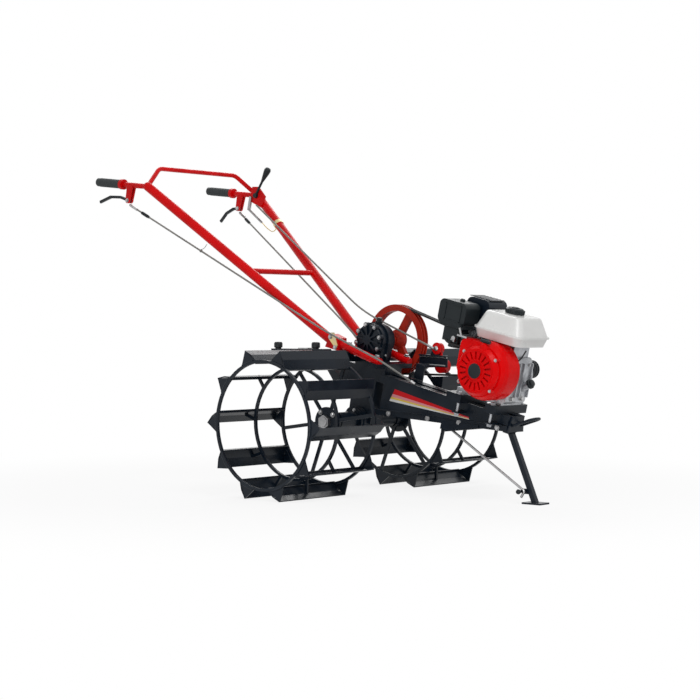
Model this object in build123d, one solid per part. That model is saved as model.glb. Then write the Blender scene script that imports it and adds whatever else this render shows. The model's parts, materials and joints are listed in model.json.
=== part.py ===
from build123d import *
from math import cos, radians, sin
import os

# Two-wheel tractor with cage wheels, parked on its front stand. Millimetres, X forward, Y left, Z up.
# The machine is drawn level about its axle (u forward, y left, w up), then pitched nose down.

# Cage wheels
RING_R = 224.5
RING_SIDES = 60
BAR = 10.0
OUTER_RING_Y = 534.5
MIDDLE_RING_Y = 366.0
INNER_RING_Y = 197.7
MIDDLE_RING_STEP = 24.5
LUGS = 10
FIRST_LUG = 72.0
LUG_REACH = 50.5
LUG_TIP = RING_R + LUG_REACH
LUG_PLATE = 4.0
LUG_ROOT_TURN = -11.0
LUG_CREASE = 5.0
LUG_LIP = 9.0
LUG_PAST_RING = 3.0
GUSSET_TURN = 9.0
GUSSET_PLATE = 5.0
BRACE_TURN = -2.0
BRACE_PLATE = 8.0
SPOKES = 6
FIRST_SPOKE = 8.0
SPOKE_WIDE = 13.0
SPOKE_THICK = 6.0
HUB_R = 34.0
HUB_FLANGE_R = 54.0
HUB_FLANGE = 8.0
HUB_IN = 160.0
HUB_OUT = 206.0
SHAFT_R = 18.0
SHAFT_IN = 52.0
SHAFT_PAST_HUB = 20.0
NUT_R = 26.0
NUT_HIGH = 16.0
RUN_FIT = 0.06

# Stance
BODY_PITCH = 13.3
AXLE_Z = LUG_TIP * cos(radians(180 / LUGS))
AXLE_X = 163.72

# Gear case and drive
CASE_HALF = 30.0
CASE_FRONT = 60.0
CASE_BACK = -100.0
CASE_FLANGE = 7.0
CASE_FLANGE_HALF = 6.0
AXLE_BARREL_R = 50.0
BARREL_HALF = 50.0
AXLE_TUBE_R = 32.0
AXLE_TUBE_END = 152.0
TUBE_FLANGE_R = 46.0
TUBE_FLANGE = 12.0
INPUT_U = -8.0
INPUT_W = 303.0
INPUT_R = 60.0
INPUT_SHAFT_R = 14.0
COVER_R = 56.0
COVER_THICK = 14.0
COVER_RIBS = 10
COVER_BOSSES = 8
COVER_BOSS_R = 10.0
SLEEVE_R = 36.0
SLEEVE_END = 64.0
BELT_Y = (118.0, 134.0)
PULLEY_IN = 109.0
PULLEY_OUT = 143.0
DRIVEN_R = 132.0
DRIVER_R = 32.0
PULLEY_RIM = 24.0
PULLEY_ARMS = 3
FIRST_ARM = 70.0
ARM_WIDE = 30.0
PULLEY_HUB_R = 38.0
BELT_THICK = 7.0
BELT_HALF = 4.0
BELT_SUNK = 1.0
GROOVE_DEEP = 10.0

# Frame
RAIL_BACK = CASE_FRONT + 6.0
RAIL_FRONT = 676.0
RAIL_IN = 12.0
RAIL_OUT = 46.0
RAIL_TOP = 197.0
RAIL_DEEP = 32.0
WEB_PLATE = 4.0
LOWER_IN = 34.0
LOWER_DEEP = 20.0
LOWER_W = 86.0
LOWER_AT = 267.0
LOWER_RISE = 0.166
FRONT_PLATE = 6.0

# Engine
CRANK_U = 602.0
CRANK_HIGH = 106.0
MOUNT_HIGH = 30.0
ENGINE_FOOT = 10.0
CRANK_W = RAIL_TOP + MOUNT_HIGH + ENGINE_FOOT + CRANK_HIGH
CRANK_R = 12.5
CASE_IN = -72.0
CASE_OUT = 42.0
CYLINDER_TILT = 25.0
FINS = 7
FIN_FIRST = 124.0
FIN_PITCH = 10.0
FAN_R = 102.0
FAN_OUT = -165.0
RECOIL_R = 86.0
RECOIL_OUT = -188.0
VENTS = 18
FOOT_PITCH = 162.0
FRONT_FOOT = 22.0
MOUNT_HALF_Y = 94.0

# Handles
HANDLE_R = 18.0
GRIP_TUBE_R = 10.5
GRIP_R = 16.5
GRIP_LONG = 132.0
GRIP_CAP = 8.0
COLLAR_R = 20.0
COLLAR_LONG = 14.0
HANDLE_Y = 305.0
GRIP_END = (-1319.0, 639.0)
HANDLE_BEND = (-1033.0, 673.0)
HANDLE_END = (-135.0, 264.0)
HANDLE_END_Y = 85.0
FOOT_TUBE_R = 15.0
FOOT_TUBE_Y = 84.0
FOOT_TUBE = ((-112.0, 266.0), (100.0, 245.0))
HOLD_FIT = 0.2

# Stand
PIVOT = (655.0, 150.0)
STAND_FOOT_X = 781.0
FOOT_HALF = 38.0
STAND_HALF = 9.0
STAND_PIN_R = 6.0

ground = Pos(AXLE_X, 0, AXLE_Z)
tilted = ground * Rot(0, BODY_PITCH, 0)
nodes = {}


def lower_bar(u):
    """The middle height of the lower bars at a place along the machine."""
    return LOWER_W + LOWER_RISE * (u - LOWER_AT)


def level(u, w):
    """Turns a point of the level machine into the parked one, still about the axle."""
    p = radians(BODY_PITCH)
    return (u * cos(p) + w * sin(p), -u * sin(p) + w * cos(p))


def polar(r, turn):
    return (r * cos(radians(turn)), r * sin(radians(turn)))


def slab(outline, y0, y1):
    """A flat outline in u and w, made solid from y0 to y1."""
    face = outline if isinstance(outline, Sketch) else Polygon(*outline, align=None)
    placed = Plane((0, y1, 0), x_dir=(1, 0, 0), z_dir=(0, -1, 0)) * face
    return extrude(placed, y1 - y0, dir=(0, -1, 0))


def strip(points, thick):
    """The outline of a folded plate of one thickness along a line of points."""
    line = [complex(*p) for p in points]
    steps = [(b - a) / abs(b - a) for a, b in zip(line, line[1:])]
    near, far = [], []
    for here, before, after in zip(line, steps[:1] + steps, steps + steps[-1:]):
        across = 1j * (before + after)
        across *= thick / abs(across) ** 2
        near.append(here + across)
        far.append(here - across)
    return [(q.real, q.imag) for q in near + far[::-1]]


def wrapped(*circles):
    """The outline of a band pulled tight around circles, each given as u, w and radius."""
    drawn = Sketch() + [Pos(u, w) * Circle(r) for u, w, r in circles]
    return make_hull(drawn.edges())


def disc(u, w, r, y0, y1):
    return Pos(u, (y0 + y1) / 2, w) * Cylinder(r, y1 - y0, rotation=(90, 0, 0))


def brick(u0, u1, y0, y1, w0, w1):
    return Pos((u0 + u1) / 2, (y0 + y1) / 2, (w0 + w1) / 2) * Box(u1 - u0, y1 - y0, w1 - w0)


def turned(profile):
    """A turned piece on the y axis, from radius and y pairs."""
    return revolve(Polygon(*profile, align=None), Axis.Y)


def rod(start, end, r):
    start, end = Vector(*start), Vector(*end)
    along = end - start
    upright = (Align.CENTER, Align.CENTER, Align.MIN)
    return Plane(start, z_dir=along) * Cylinder(r, along.length, align=upright)


def bent(points, bend, r):
    """A round bar along straight runs joined by arcs."""
    path = FilletPolyline(*points, radius=bend)
    return sweep(Plane(path @ 0, z_dir=path % 0) * Circle(r), path=path)


def mirrored(shape):
    return mirror(shape, about=Plane.XZ)


def fuse(shapes):
    first, *rest = shapes
    return first.fuse(*rest).clean() if rest else first


# Cage wheel, drawn for the right side about the axle. The rings are fine polygons, to keep the wheel light.
def ring(radius, y):
    band = RegularPolygon(radius + BAR / 2, RING_SIDES) - RegularPolygon(radius - BAR / 2, RING_SIDES)
    return slab(band, y - BAR / 2, y + BAR / 2)


def lug(turn):
    """One folded plate with a crease and lips, a gusset at each outer ring and a brace to the middle ring."""
    root = Vector(*polar(RING_R, turn + LUG_ROOT_TURN))
    tip = Vector(*polar(LUG_TIP - LUG_PLATE / 2, turn))
    along = (tip - root).normalized()
    across = Vector(along.Y, -along.X)
    crease = (root + tip) / 2 + across * LUG_CREASE
    line = [root - across * LUG_LIP, root, crease, tip]
    outline = strip([(p.X, p.Y) for p in line], LUG_PLATE)
    pieces = [slab(outline, -OUTER_RING_Y - LUG_PAST_RING, -INNER_RING_Y + LUG_PAST_RING)]
    corners = [(root.X, root.Y), (tip.X, tip.Y), polar(RING_R, turn + GUSSET_TURN)]
    for y in (-OUTER_RING_Y, -INNER_RING_Y):
        pieces.append(slab(corners, y - GUSSET_PLATE / 2, y + GUSSET_PLATE / 2))
    brace = strip([polar(RING_R - MIDDLE_RING_STEP, turn + BRACE_TURN), (crease.X, crease.Y)], BAR)
    pieces.append(slab(brace, -MIDDLE_RING_Y - BRACE_PLATE / 2, -MIDDLE_RING_Y + BRACE_PLATE / 2))
    return pieces


def cage_wheel():
    pieces = [ring(RING_R, -OUTER_RING_Y), ring(RING_R, -INNER_RING_Y)]
    pieces.append(ring(RING_R - MIDDLE_RING_STEP, -MIDDLE_RING_Y))
    for i in range(LUGS):
        pieces += lug(FIRST_LUG + i * 360 / LUGS)
    for i in range(SPOKES):
        turn = FIRST_SPOKE + i * 360 / SPOKES
        spoke = strip([polar(HUB_R - BAR, turn), polar(RING_R, turn)], SPOKE_WIDE)
        pieces.append(slab(spoke, -INNER_RING_Y - SPOKE_THICK / 2, -INNER_RING_Y + SPOKE_THICK / 2))
    pieces.append(disc(0, 0, HUB_R, -HUB_OUT, -HUB_IN))
    pieces.append(disc(0, 0, HUB_FLANGE_R, -HUB_OUT, -HUB_OUT + HUB_FLANGE))
    return fuse(pieces) - disc(0, 0, SHAFT_R + RUN_FIT, -HUB_OUT - 1, -HUB_IN + 1)


def wheel_shaft():
    nut = extrude(Plane((0, -HUB_OUT, 0), z_dir=(0, -1, 0)) * RegularPolygon(NUT_R, 6), NUT_HIGH)
    return fuse([disc(0, 0, SHAFT_R, -HUB_OUT - SHAFT_PAST_HUB, -SHAFT_IN), nut])


wheel = cage_wheel()
shaft = wheel_shaft()
nodes["cage_right"] = ground * wheel
nodes["cage_left"] = ground * mirrored(wheel)
nodes["shaft_right"] = ground * shaft
nodes["shaft_left"] = ground * mirrored(shaft)


# Gear case: a cast shell pulled around the axle and the input shaft, with a split flange
def case_outline(extra):
    return wrapped((0, 0, AXLE_BARREL_R + extra), (INPUT_U, INPUT_W, INPUT_R + extra))


PAD_LOW = 70.0
PAD_HIGH = 200.0
case = fuse([
    slab(case_outline(0), -CASE_HALF, CASE_HALF),
    slab(case_outline(CASE_FLANGE), -CASE_FLANGE_HALF, CASE_FLANGE_HALF),
    disc(0, 0, AXLE_BARREL_R, -BARREL_HALF, BARREL_HALF),
    brick(0, CASE_FRONT, -CASE_HALF, CASE_HALF, 0, PAD_HIGH),
    brick(CASE_BACK, 0, -CASE_HALF, CASE_HALF, PAD_LOW, PAD_HIGH),
])
case -= disc(0, 0, SHAFT_R + 4, -BARREL_HALF - 1, BARREL_HALF + 1)
nodes["gear_case"] = tilted * case

tube = disc(0, 0, AXLE_TUBE_R, -AXLE_TUBE_END, -BARREL_HALF)
tube += disc(0, 0, TUBE_FLANGE_R, -BARREL_HALF - TUBE_FLANGE, -BARREL_HALF)
tube -= disc(0, 0, SHAFT_R + RUN_FIT, -AXLE_TUBE_END - 1, 0)
nodes["axle_tube_right"] = tilted * tube
nodes["axle_tube_left"] = tilted * mirrored(tube)

# Ribbed cover with bolt bosses on the right of the input shaft, and the bearing sleeve on its left
COVER_FACE = -CASE_HALF - COVER_THICK
RIB_HALF = 3.0
RIB_PROUD = 8.0
cover = [
    disc(0, 0, COVER_R, COVER_FACE, -CASE_HALF),
    disc(0, 0, SLEEVE_R / 2, COVER_FACE - RIB_PROUD, COVER_FACE),
]
for i in range(COVER_BOSSES):
    at = polar(COVER_R, (i + 0.5) * 360 / COVER_BOSSES)
    cover.append(disc(*at, COVER_BOSS_R, COVER_FACE - RIB_PROUD / 2, -CASE_HALF))
for i in range(COVER_RIBS):
    turn = i * 360 / COVER_RIBS
    rib = strip([polar(SLEEVE_R / 3, turn), polar(COVER_R - RIB_HALF, turn)], 2 * RIB_HALF)
    cover.append(slab(rib, COVER_FACE - RIB_PROUD, COVER_FACE))
nodes["case_cover"] = tilted * Pos(INPUT_U, 0, INPUT_W) * fuse(cover)

sleeve = fuse([
    disc(0, 0, SLEEVE_R, CASE_HALF, SLEEVE_END),
    disc(0, 0, COVER_R, CASE_HALF, CASE_HALF + TUBE_FLANGE),
])
sleeve -= disc(0, 0, INPUT_SHAFT_R + RUN_FIT, CASE_HALF, SLEEVE_END + 1)
nodes["input_housing"] = tilted * Pos(INPUT_U, 0, INPUT_W) * sleeve

# Pulleys turn on the crank and on the input shaft; both belts stay still
GROOVE_HALF = 6.5


def grooved_rim(r, inner):
    profile = [(inner, PULLEY_IN), (r, PULLEY_IN)]
    for y in BELT_Y:
        floor = r - GROOVE_DEEP
        profile += [(r, y - GROOVE_HALF), (floor, y - BELT_HALF)]
        profile += [(floor, y + BELT_HALF), (r, y + GROOVE_HALF)]
    return turned(profile + [(r, PULLEY_OUT), (inner, PULLEY_OUT)])


ARM_SUNK = 9.0
HUB_DOME = 8.0
SHAFT_START = 48.0
pulley = [
    grooved_rim(DRIVEN_R, DRIVEN_R - PULLEY_RIM),
    turned([
        (0, PULLEY_IN - HUB_DOME),
        (PULLEY_HUB_R / 2, PULLEY_IN - HUB_DOME),
        (PULLEY_HUB_R, PULLEY_IN + ARM_SUNK),
        (PULLEY_HUB_R, PULLEY_OUT - ARM_SUNK),
        (PULLEY_HUB_R / 2, PULLEY_OUT),
        (0, PULLEY_OUT),
    ]),
    disc(0, 0, INPUT_SHAFT_R, SHAFT_START, PULLEY_IN),
]
for i in range(PULLEY_ARMS):
    turn = FIRST_ARM + i * 360 / PULLEY_ARMS
    arm = strip([polar(PULLEY_HUB_R / 2, turn), polar(DRIVEN_R - PULLEY_RIM * 0.75, turn)], ARM_WIDE)
    pulley.append(slab(arm, PULLEY_IN + ARM_SUNK, PULLEY_OUT - ARM_SUNK))
nodes["driven_pulley"] = tilted * Pos(INPUT_U, 0, INPUT_W) * fuse(pulley)

CRANK_START = 48.0
driver = fuse([grooved_rim(DRIVER_R, CRANK_R - 2), disc(0, 0, CRANK_R, CRANK_START, PULLEY_OUT + 6)])
nodes["engine_pulley"] = tilted * Pos(CRANK_U, 0, CRANK_W) * driver


def belt_loop(sunk):
    return wrapped((INPUT_U, INPUT_W, DRIVEN_R - sunk), (CRANK_U, CRANK_W, DRIVER_R - sunk))


def belt_inside(u):
    """The height of the lower run's inner side at a place between the pulleys."""
    share = (u - INPUT_U) / (CRANK_U - INPUT_U)
    middle = INPUT_W + share * (CRANK_W - INPUT_W)
    return middle - (DRIVEN_R + share * (DRIVER_R - DRIVEN_R) - BELT_SUNK - BELT_THICK)


belt_face = belt_loop(BELT_SUNK) - belt_loop(BELT_SUNK + BELT_THICK)
nodes["belts"] = tilted * Compound([slab(belt_face, y - BELT_HALF, y + BELT_HALF) for y in BELT_Y])

# Belt keeper on the left rail, between the belts and the case, with the red tensioner turning on it
KEEPER_Y = 98.0
KEEPER_PLATE = 5.0
KEEPER_LIP = 14.0
KEEPER_DROP = INPUT_W - 46.0
ARM_Y = KEEPER_Y + KEEPER_PLATE
TENSION_PIVOT = (INPUT_U + 211.0, INPUT_W + 18.0)
ROLLER_R = 26.0
ROLLER_CLEAR = 1.0
ROLLER_U = TENSION_PIVOT[0] + 20.0
ROLLER = (ROLLER_U, belt_inside(ROLLER_U) + ROLLER_R + ROLLER_CLEAR)
FOOT_U = 168.0
FOOT_LONG = 40.0
keeper_line = [(INPUT_U + 140.0, KEEPER_DROP + 4), (FOOT_U + 92.0, KEEPER_DROP + 28)]
keeper = fuse([
    slab(strip(keeper_line, 42), KEEPER_Y, ARM_Y),
    slab(strip([(u, w + 19) for u, w in keeper_line], 5), ARM_Y - KEEPER_LIP, ARM_Y),
    slab(strip([(FOOT_U + 20, KEEPER_DROP), TENSION_PIVOT], 34), KEEPER_Y, ARM_Y),
    disc(*TENSION_PIVOT, 17, KEEPER_Y, ARM_Y),
    brick(FOOT_U, FOOT_U + FOOT_LONG, RAIL_IN, RAIL_OUT, RAIL_TOP, RAIL_TOP + 6),
    brick(FOOT_U, FOOT_U + FOOT_LONG, RAIL_OUT - 6, RAIL_OUT, RAIL_TOP, KEEPER_DROP),
    brick(FOOT_U, FOOT_U + FOOT_LONG, RAIL_OUT - 6, ARM_Y, KEEPER_DROP - 6, KEEPER_DROP),
])
nodes["belt_keeper"] = tilted * keeper
tensioner = fuse([
    slab(strip([TENSION_PIVOT, ROLLER], 24), ARM_Y + 5, ARM_Y + 11),
    disc(*TENSION_PIVOT, 20, ARM_Y, ARM_Y + 15),
    disc(*ROLLER, 8, ARM_Y + 5, PULLEY_OUT - 2),
    disc(*ROLLER, ROLLER_R, PULLEY_IN + 1, PULLEY_OUT - 2),
])
nodes["tensioner"] = tilted * tensioner

# Frame: two level rails on top, two rising bars below, a thin web between them on each side
END_LOW = 40.0
RISER = 24.0
SADDLE_W = RAIL_TOP + RISER
nodes["end_plate"] = tilted * brick(CASE_FRONT, RAIL_BACK, -RAIL_OUT, RAIL_OUT, END_LOW, SADDLE_W)
rail = brick(RAIL_BACK, RAIL_FRONT, -RAIL_OUT, -RAIL_IN, RAIL_TOP - RAIL_DEEP, RAIL_TOP)
nodes["rail_right"] = tilted * rail
nodes["rail_left"] = tilted * mirrored(rail)

WEB_BACK = 104.0
WEB_FRONT = 620.0
web_top = RAIL_TOP - RAIL_DEEP
web_low = [(u, lower_bar(u) + LOWER_DEEP / 2 + 1) for u in (WEB_FRONT, WEB_BACK)]
web = slab([(WEB_BACK, web_top), (WEB_FRONT, web_top)] + web_low, -RAIL_OUT, -RAIL_OUT + WEB_PLATE)
nodes["side_plate_right"] = tilted * web
nodes["side_plate_left"] = tilted * mirrored(web)

# The lower bars carry a hanging bracket on each side for the stay's cross rod
STAY_ROD = (408.0, 88.0)
STAY_ROD_R = 4.0
BRACKET = 4.0
bar = strip([(RAIL_BACK, lower_bar(RAIL_BACK)), (RAIL_FRONT, lower_bar(RAIL_FRONT))], LOWER_DEEP)
bar = slab(bar, -RAIL_OUT, -LOWER_IN)
bar -= brick(RAIL_FRONT, RAIL_FRONT + 50, -RAIL_OUT, 0, 0, RAIL_TOP)
bar -= brick(0, RAIL_BACK, -RAIL_OUT, 0, 0, RAIL_TOP)
bracket_outline = [
    (STAY_ROD[0] - 12, lower_bar(STAY_ROD[0])),
    (STAY_ROD[0] - 12, STAY_ROD[1] - 10),
    (STAY_ROD[0] + 24, STAY_ROD[1] - 10),
    (STAY_ROD[0] + 150, lower_bar(STAY_ROD[0] + 150) - LOWER_DEEP / 2),
    (STAY_ROD[0] + 150, lower_bar(STAY_ROD[0] + 150)),
]
bar = fuse([bar, slab(bracket_outline, -RAIL_OUT - BRACKET, -RAIL_OUT)])
nodes["lower_rail_right"] = tilted * bar
nodes["lower_rail_left"] = tilted * mirrored(bar)
nodes["stay_rod"] = tilted * disc(*STAY_ROD, STAY_ROD_R, -RAIL_OUT, RAIL_OUT)

# Front plate with the stand's ears and pin, and the nose loop
EAR_GAP = STAND_HALF + 5.0
EAR_PLATE = 6.0
front_low = lower_bar(RAIL_FRONT) - LOWER_DEEP / 2 - 2
NOSE_HALF = 32.0
face = Polygon(
    (-RAIL_OUT, front_low),
    (RAIL_OUT, front_low),
    (NOSE_HALF, RAIL_TOP),
    (-NOSE_HALF, RAIL_TOP),
    align=None,
)
face = Plane((RAIL_FRONT, 0, 0), x_dir=(0, 1, 0), z_dir=(1, 0, 0)) * face
front = [extrude(face, FRONT_PLATE)]
ear = [
    (RAIL_FRONT, RAIL_TOP - RAIL_DEEP),
    (RAIL_FRONT, front_low),
    (PIVOT[0] + 12, PIVOT[1] - 18),
    (PIVOT[0] - 12, PIVOT[1] - 18),
    (PIVOT[0] - 16, PIVOT[1] + 10),
]
for y in (-EAR_GAP - EAR_PLATE, EAR_GAP):
    front.append(slab(ear, y, y + EAR_PLATE))
front.append(disc(*PIVOT, STAND_PIN_R, -EAR_GAP - EAR_PLATE - 4, EAR_GAP + EAR_PLATE + 4))
nodes["front_frame"] = tilted * fuse(front)
LOOP_R = 5.0
LOOP_HALF = 26.0
LOOP_BACK = (RAIL_FRONT + FRONT_PLATE, RAIL_TOP - RAIL_DEEP)
LOOP_TIP = (LOOP_BACK[0] + 78.0, LOOP_BACK[1] + 46.0)
loop = [(u, side * LOOP_HALF, w) for side, ends in ((-1, (LOOP_BACK, LOOP_TIP)), (1, (LOOP_TIP, LOOP_BACK)))
        for u, w in ends]
loop = bent(loop, 20, LOOP_R)
nodes["front_bumper"] = tilted * (loop - brick(0, LOOP_BACK[0], -100, 100, 0, 300))

# Engine mounts: two cross-members over the rails
front_foot = CRANK_U + FRONT_FOOT
mounts = []
for u, half in ((front_foot - FOOT_PITCH, 32.0), (front_foot, 21.0)):
    mounts.append(brick(u - half, u + half, -MOUNT_HALF_Y, MOUNT_HALF_Y, RAIL_TOP, RAIL_TOP + MOUNT_HIGH))
nodes["engine_mounts"] = tilted * Compound(mounts)

# Engine, drawn about its crank
crank = Pos(CRANK_U, 0, CRANK_W)
BLOCK_BACK = -88.0
BLOCK_FRONT = 64.0
BLOCK_TOP = 57.0
TANK_LOW = 104.0
block = brick(BLOCK_BACK, BLOCK_FRONT, CASE_IN, CASE_OUT, -CRANK_HIGH, BLOCK_TOP)
block = fillet(block.edges().filter_by(Axis.Y), 16)
foot_back = FRONT_FOOT - FOOT_PITCH - 18
FILLER = ((BLOCK_FRONT - 8, 18, -52), (BLOCK_FRONT + 22, 18, -30))
block = fuse([
    block,
    brick(foot_back, FRONT_FOOT + 18, -58, 58, -CRANK_HIGH - ENGINE_FOOT, -CRANK_HIGH + 8),
    brick(-36, 46, -52, CASE_OUT - 6, BLOCK_TOP - 2, TANK_LOW),
    disc(4, -10, 68, CASE_OUT, CASE_OUT + 8),
    disc(0, 0, 34, CASE_OUT, CASE_OUT + 26),
    rod(*FILLER, 13),
])
block -= disc(0, 0, CRANK_R + RUN_FIT, 40, CASE_OUT + 30)
nodes["crankcase"] = tilted * crank * block

HEAD_HALF = 42.0
FIN_HALF = 52.0
FIN_HALF_Y = 51.0
HEAD_Y = -6.0
head = [Pos(-134, HEAD_Y, 0) * Box(126, 2 * HEAD_HALF, 2 * HEAD_HALF)]
for i in range(FINS):
    head.append(Pos(-FIN_FIRST - i * FIN_PITCH, HEAD_Y, 0) * Box(4, 2 * FIN_HALF_Y, 2 * FIN_HALF))
head.append(Pos(-208, HEAD_Y, 0) * fillet(Box(24, 72, 72).edges().filter_by(Axis.X), 12))
cylinder = Rot(0, CYLINDER_TILT, 0) * fuse(head)
cylinder -= brick(BLOCK_BACK, BLOCK_FRONT, CASE_IN, CASE_OUT, -CRANK_HIGH - 20, BLOCK_TOP)
nodes["cylinder"] = tilted * crank * cylinder

# Fan cover with the shroud over the cylinder, and the vented starter cover
SHROUD_BACK = -112.0
SHROUD_TOP = 91.0
shell = turned([
    (0, CASE_IN),
    (FAN_R, CASE_IN),
    (FAN_R, FAN_OUT + 30),
    (FAN_R - 4, FAN_OUT + 14),
    (FAN_R - 12, FAN_OUT),
    (0, FAN_OUT),
])
shroud = brick(SHROUD_BACK, 0, FAN_OUT + 18, CASE_IN, -30, SHROUD_TOP)
shroud = fillet(shroud.edges().filter_by(Axis.Y).group_by(Axis.X)[0], 22)
nodes["fan_cover"] = tilted * crank * fuse([shell, shroud])

VENT_IN = 40.0
VENT_OUT = 66.0
VENT_WIDE = 6.0
starter = turned([
    (0, FAN_OUT),
    (RECOIL_R, FAN_OUT),
    (RECOIL_R, FAN_OUT - 10),
    (RECOIL_R - 10, RECOIL_OUT),
    (0, RECOIL_OUT),
])
for i in range(VENTS):
    turn = i * 360 / VENTS
    vent = strip([polar(VENT_IN, turn), polar(VENT_OUT, turn)], VENT_WIDE)
    starter -= slab(vent, RECOIL_OUT - 1, RECOIL_OUT + 8)
starter = fuse([starter, disc(0, 0, VENT_IN - 12, RECOIL_OUT - 4, RECOIL_OUT)])
nodes["recoil"] = tilted * crank * starter


# Fuel tank: a skirt, a seam flange and a tapered top, in rounded rectangles
def layer(u0, u1, y0, y1, w, corner):
    at = Plane(((u0 + u1) / 2, (y0 + y1) / 2, w))
    return at * RectangleRounded(u1 - u0, y1 - y0, corner)


TANK_SEAM = 137.0
TANK_TOP = 199.0
SEAM_HALF = 3.0
skirt = layer(-88, 100, -112, 54, TANK_LOW, 26)
seam = layer(-94, 106, -124, 66, TANK_SEAM, 30)
lid = layer(-74, 76, -100, 44, TANK_TOP, 26)
upper = loft([seam, lid], ruled=True)
upper = fillet(upper.edges().group_by(Axis.Z)[-1], 14)
flange = extrude(layer(-98, 110, -128, 70, TANK_SEAM - SEAM_HALF, 32), 2 * SEAM_HALF)
nodes["fuel_tank"] = tilted * crank * fuse([loft([skirt, seam], ruled=True), upper, flange])
CAP_R = 32.0
CAP_HIGH = 20.0
cap = turned([(0, 0), (CAP_R, 0), (CAP_R, CAP_HIGH - 5), (CAP_R - 6, CAP_HIGH), (0, CAP_HIGH)])
nodes["fuel_cap"] = tilted * crank * Pos(-2, -22, TANK_TOP) * Rot(90, 0, 0) * cap

# Carburettor under the air cleaner, and the muffler on the far side
CLEANER_LOW = 112.0
CARB_U = -176.0
cleaner = brick(-238, -120, -140, -60, CLEANER_LOW + 8, 203)
cleaner = fillet(cleaner.edges().filter_by(Axis.Y), 20)
cleaner = fuse([cleaner, brick(-226, -124, -136, -62, CLEANER_LOW, CLEANER_LOW + 20)])
nodes["air_cleaner"] = tilted * crank * cleaner
carburettor = fuse([
    disc(CARB_U, 92, 19, -124, -50),
    Pos(CARB_U, -98, 62) * Cylinder(21, 44),
    brick(CARB_U - 34, CARB_U + 34, -128, -116, 60, 108),
    brick(CARB_U - 22, CARB_U + 22, -126, -92, 92, CLEANER_LOW),
])
nodes["carburettor"] = tilted * crank * (carburettor - cylinder)
muffler = fillet(brick(-198, -98, -42, 62, 140, 220).edges().filter_by(Axis.Y), 24)
muffler = fuse([muffler, brick(-176, -153, 14, 40, 108, 142)])
nodes["muffler"] = tilted * crank * (muffler - cylinder)


# Handles: a thick tube each side, with a thin grip tube from its upper end
def on_side(side, place, y):
    return (place[0], side * y, place[1])


def handle(side, extra):
    """The tubes of one handle, or a cutter for them with some clearance."""
    bend = on_side(side, HANDLE_BEND, HANDLE_Y)
    end = on_side(side, HANDLE_END, HANDLE_END_Y)
    grip = on_side(side, GRIP_END, HANDLE_Y)
    return fuse([
        rod(bend, end, HANDLE_R + extra),
        rod(grip, bend, GRIP_TUBE_R + extra),
        Pos(*bend) * Sphere(HANDLE_R + extra),
    ])


def foot_tube(side, extra):
    back, ahead = FOOT_TUBE
    return rod(on_side(side, back, FOOT_TUBE_Y), on_side(side, ahead, FOOT_TUBE_Y), FOOT_TUBE_R + extra)


JOINT_IN = 60.0
JOINT_OUT = 106.0
JOINT = [(-156, 242), (-90, 242), (-98, 288), (-142, 294)]
for side, name in ((-1, "right"), (1, "left")):
    tubes = handle(side, 0)
    nodes["handle_" + name] = tilted * tubes
    start = Vector(*on_side(side, GRIP_END, HANDLE_Y))
    bend = Vector(*on_side(side, HANDLE_BEND, HANDLE_Y))
    along = (bend - start).normalized()
    grip = rod(start - along * GRIP_CAP, start + along * GRIP_LONG, GRIP_R)
    grip += rod(start + along * GRIP_LONG, start + along * (GRIP_LONG + COLLAR_LONG), COLLAR_R)
    grip -= rod(start, start + along * 200, GRIP_TUBE_R + HOLD_FIT)
    nodes["grip_" + name] = tilted * grip
    nodes["handle_foot_" + name] = tilted * foot_tube(side, 0)
    joint = slab(JOINT, *sorted((side * JOINT_IN, side * JOINT_OUT)))
    nodes["handle_joint_" + name] = tilted * (joint - handle(side, HOLD_FIT) - foot_tube(side, HOLD_FIT))

held = fuse([handle(-1, HOLD_FIT), handle(1, HOLD_FIT)])
BRIDGE = ((-1040.0, 296.0, 679.0), (-1089.0, 210.0, 741.0))
(foot_u, foot_y, foot_w), (top_u, top_y, top_w) = BRIDGE
bridge = [(foot_u, -foot_y, foot_w), (top_u, -top_y, top_w), (top_u, top_y, top_w), (foot_u, foot_y, foot_w)]
nodes["handle_bridge"] = tilted * (bent(bridge, 45, 9) - held)
CROSS_U = -535.0
share = (CROSS_U - HANDLE_BEND[0]) / (HANDLE_END[0] - HANDLE_BEND[0])
cross_y = HANDLE_Y + share * (HANDLE_END_Y - HANDLE_Y)
cross_w = HANDLE_BEND[1] + share * (HANDLE_END[1] - HANDLE_BEND[1])
cross = rod((CROSS_U, -cross_y, cross_w), (CROSS_U, cross_y, cross_w), 10.5)
nodes["handle_cross"] = tilted * (cross - held)

# The foot tubes lie in grooves of a saddle on the rails and of two brackets on the gear case
feet = fuse([foot_tube(-1, HOLD_FIT), foot_tube(1, HOLD_FIT)])
SADDLE_HALF = 102.0
saddle = fuse([
    brick(RAIL_BACK, RAIL_BACK + 34, -RAIL_OUT, RAIL_OUT, RAIL_TOP, SADDLE_W),
    brick(RAIL_BACK, RAIL_BACK + 34, -SADDLE_HALF, SADDLE_HALF, SADDLE_W, SADDLE_W + 17),
])
supports = [saddle]
for side in (-1, 1):
    low = brick(-72, -44, *sorted((side * CASE_HALF, side * SADDLE_HALF)), SADDLE_W - 8, SADDLE_W + 12)
    post = brick(-72, -44, *sorted((side * 66, side * SADDLE_HALF)), SADDLE_W + 12, SADDLE_W + 28)
    supports.append(fuse([low, post]))
nodes["handle_base"] = tilted * Compound([piece - feet for piece in supports])

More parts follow.
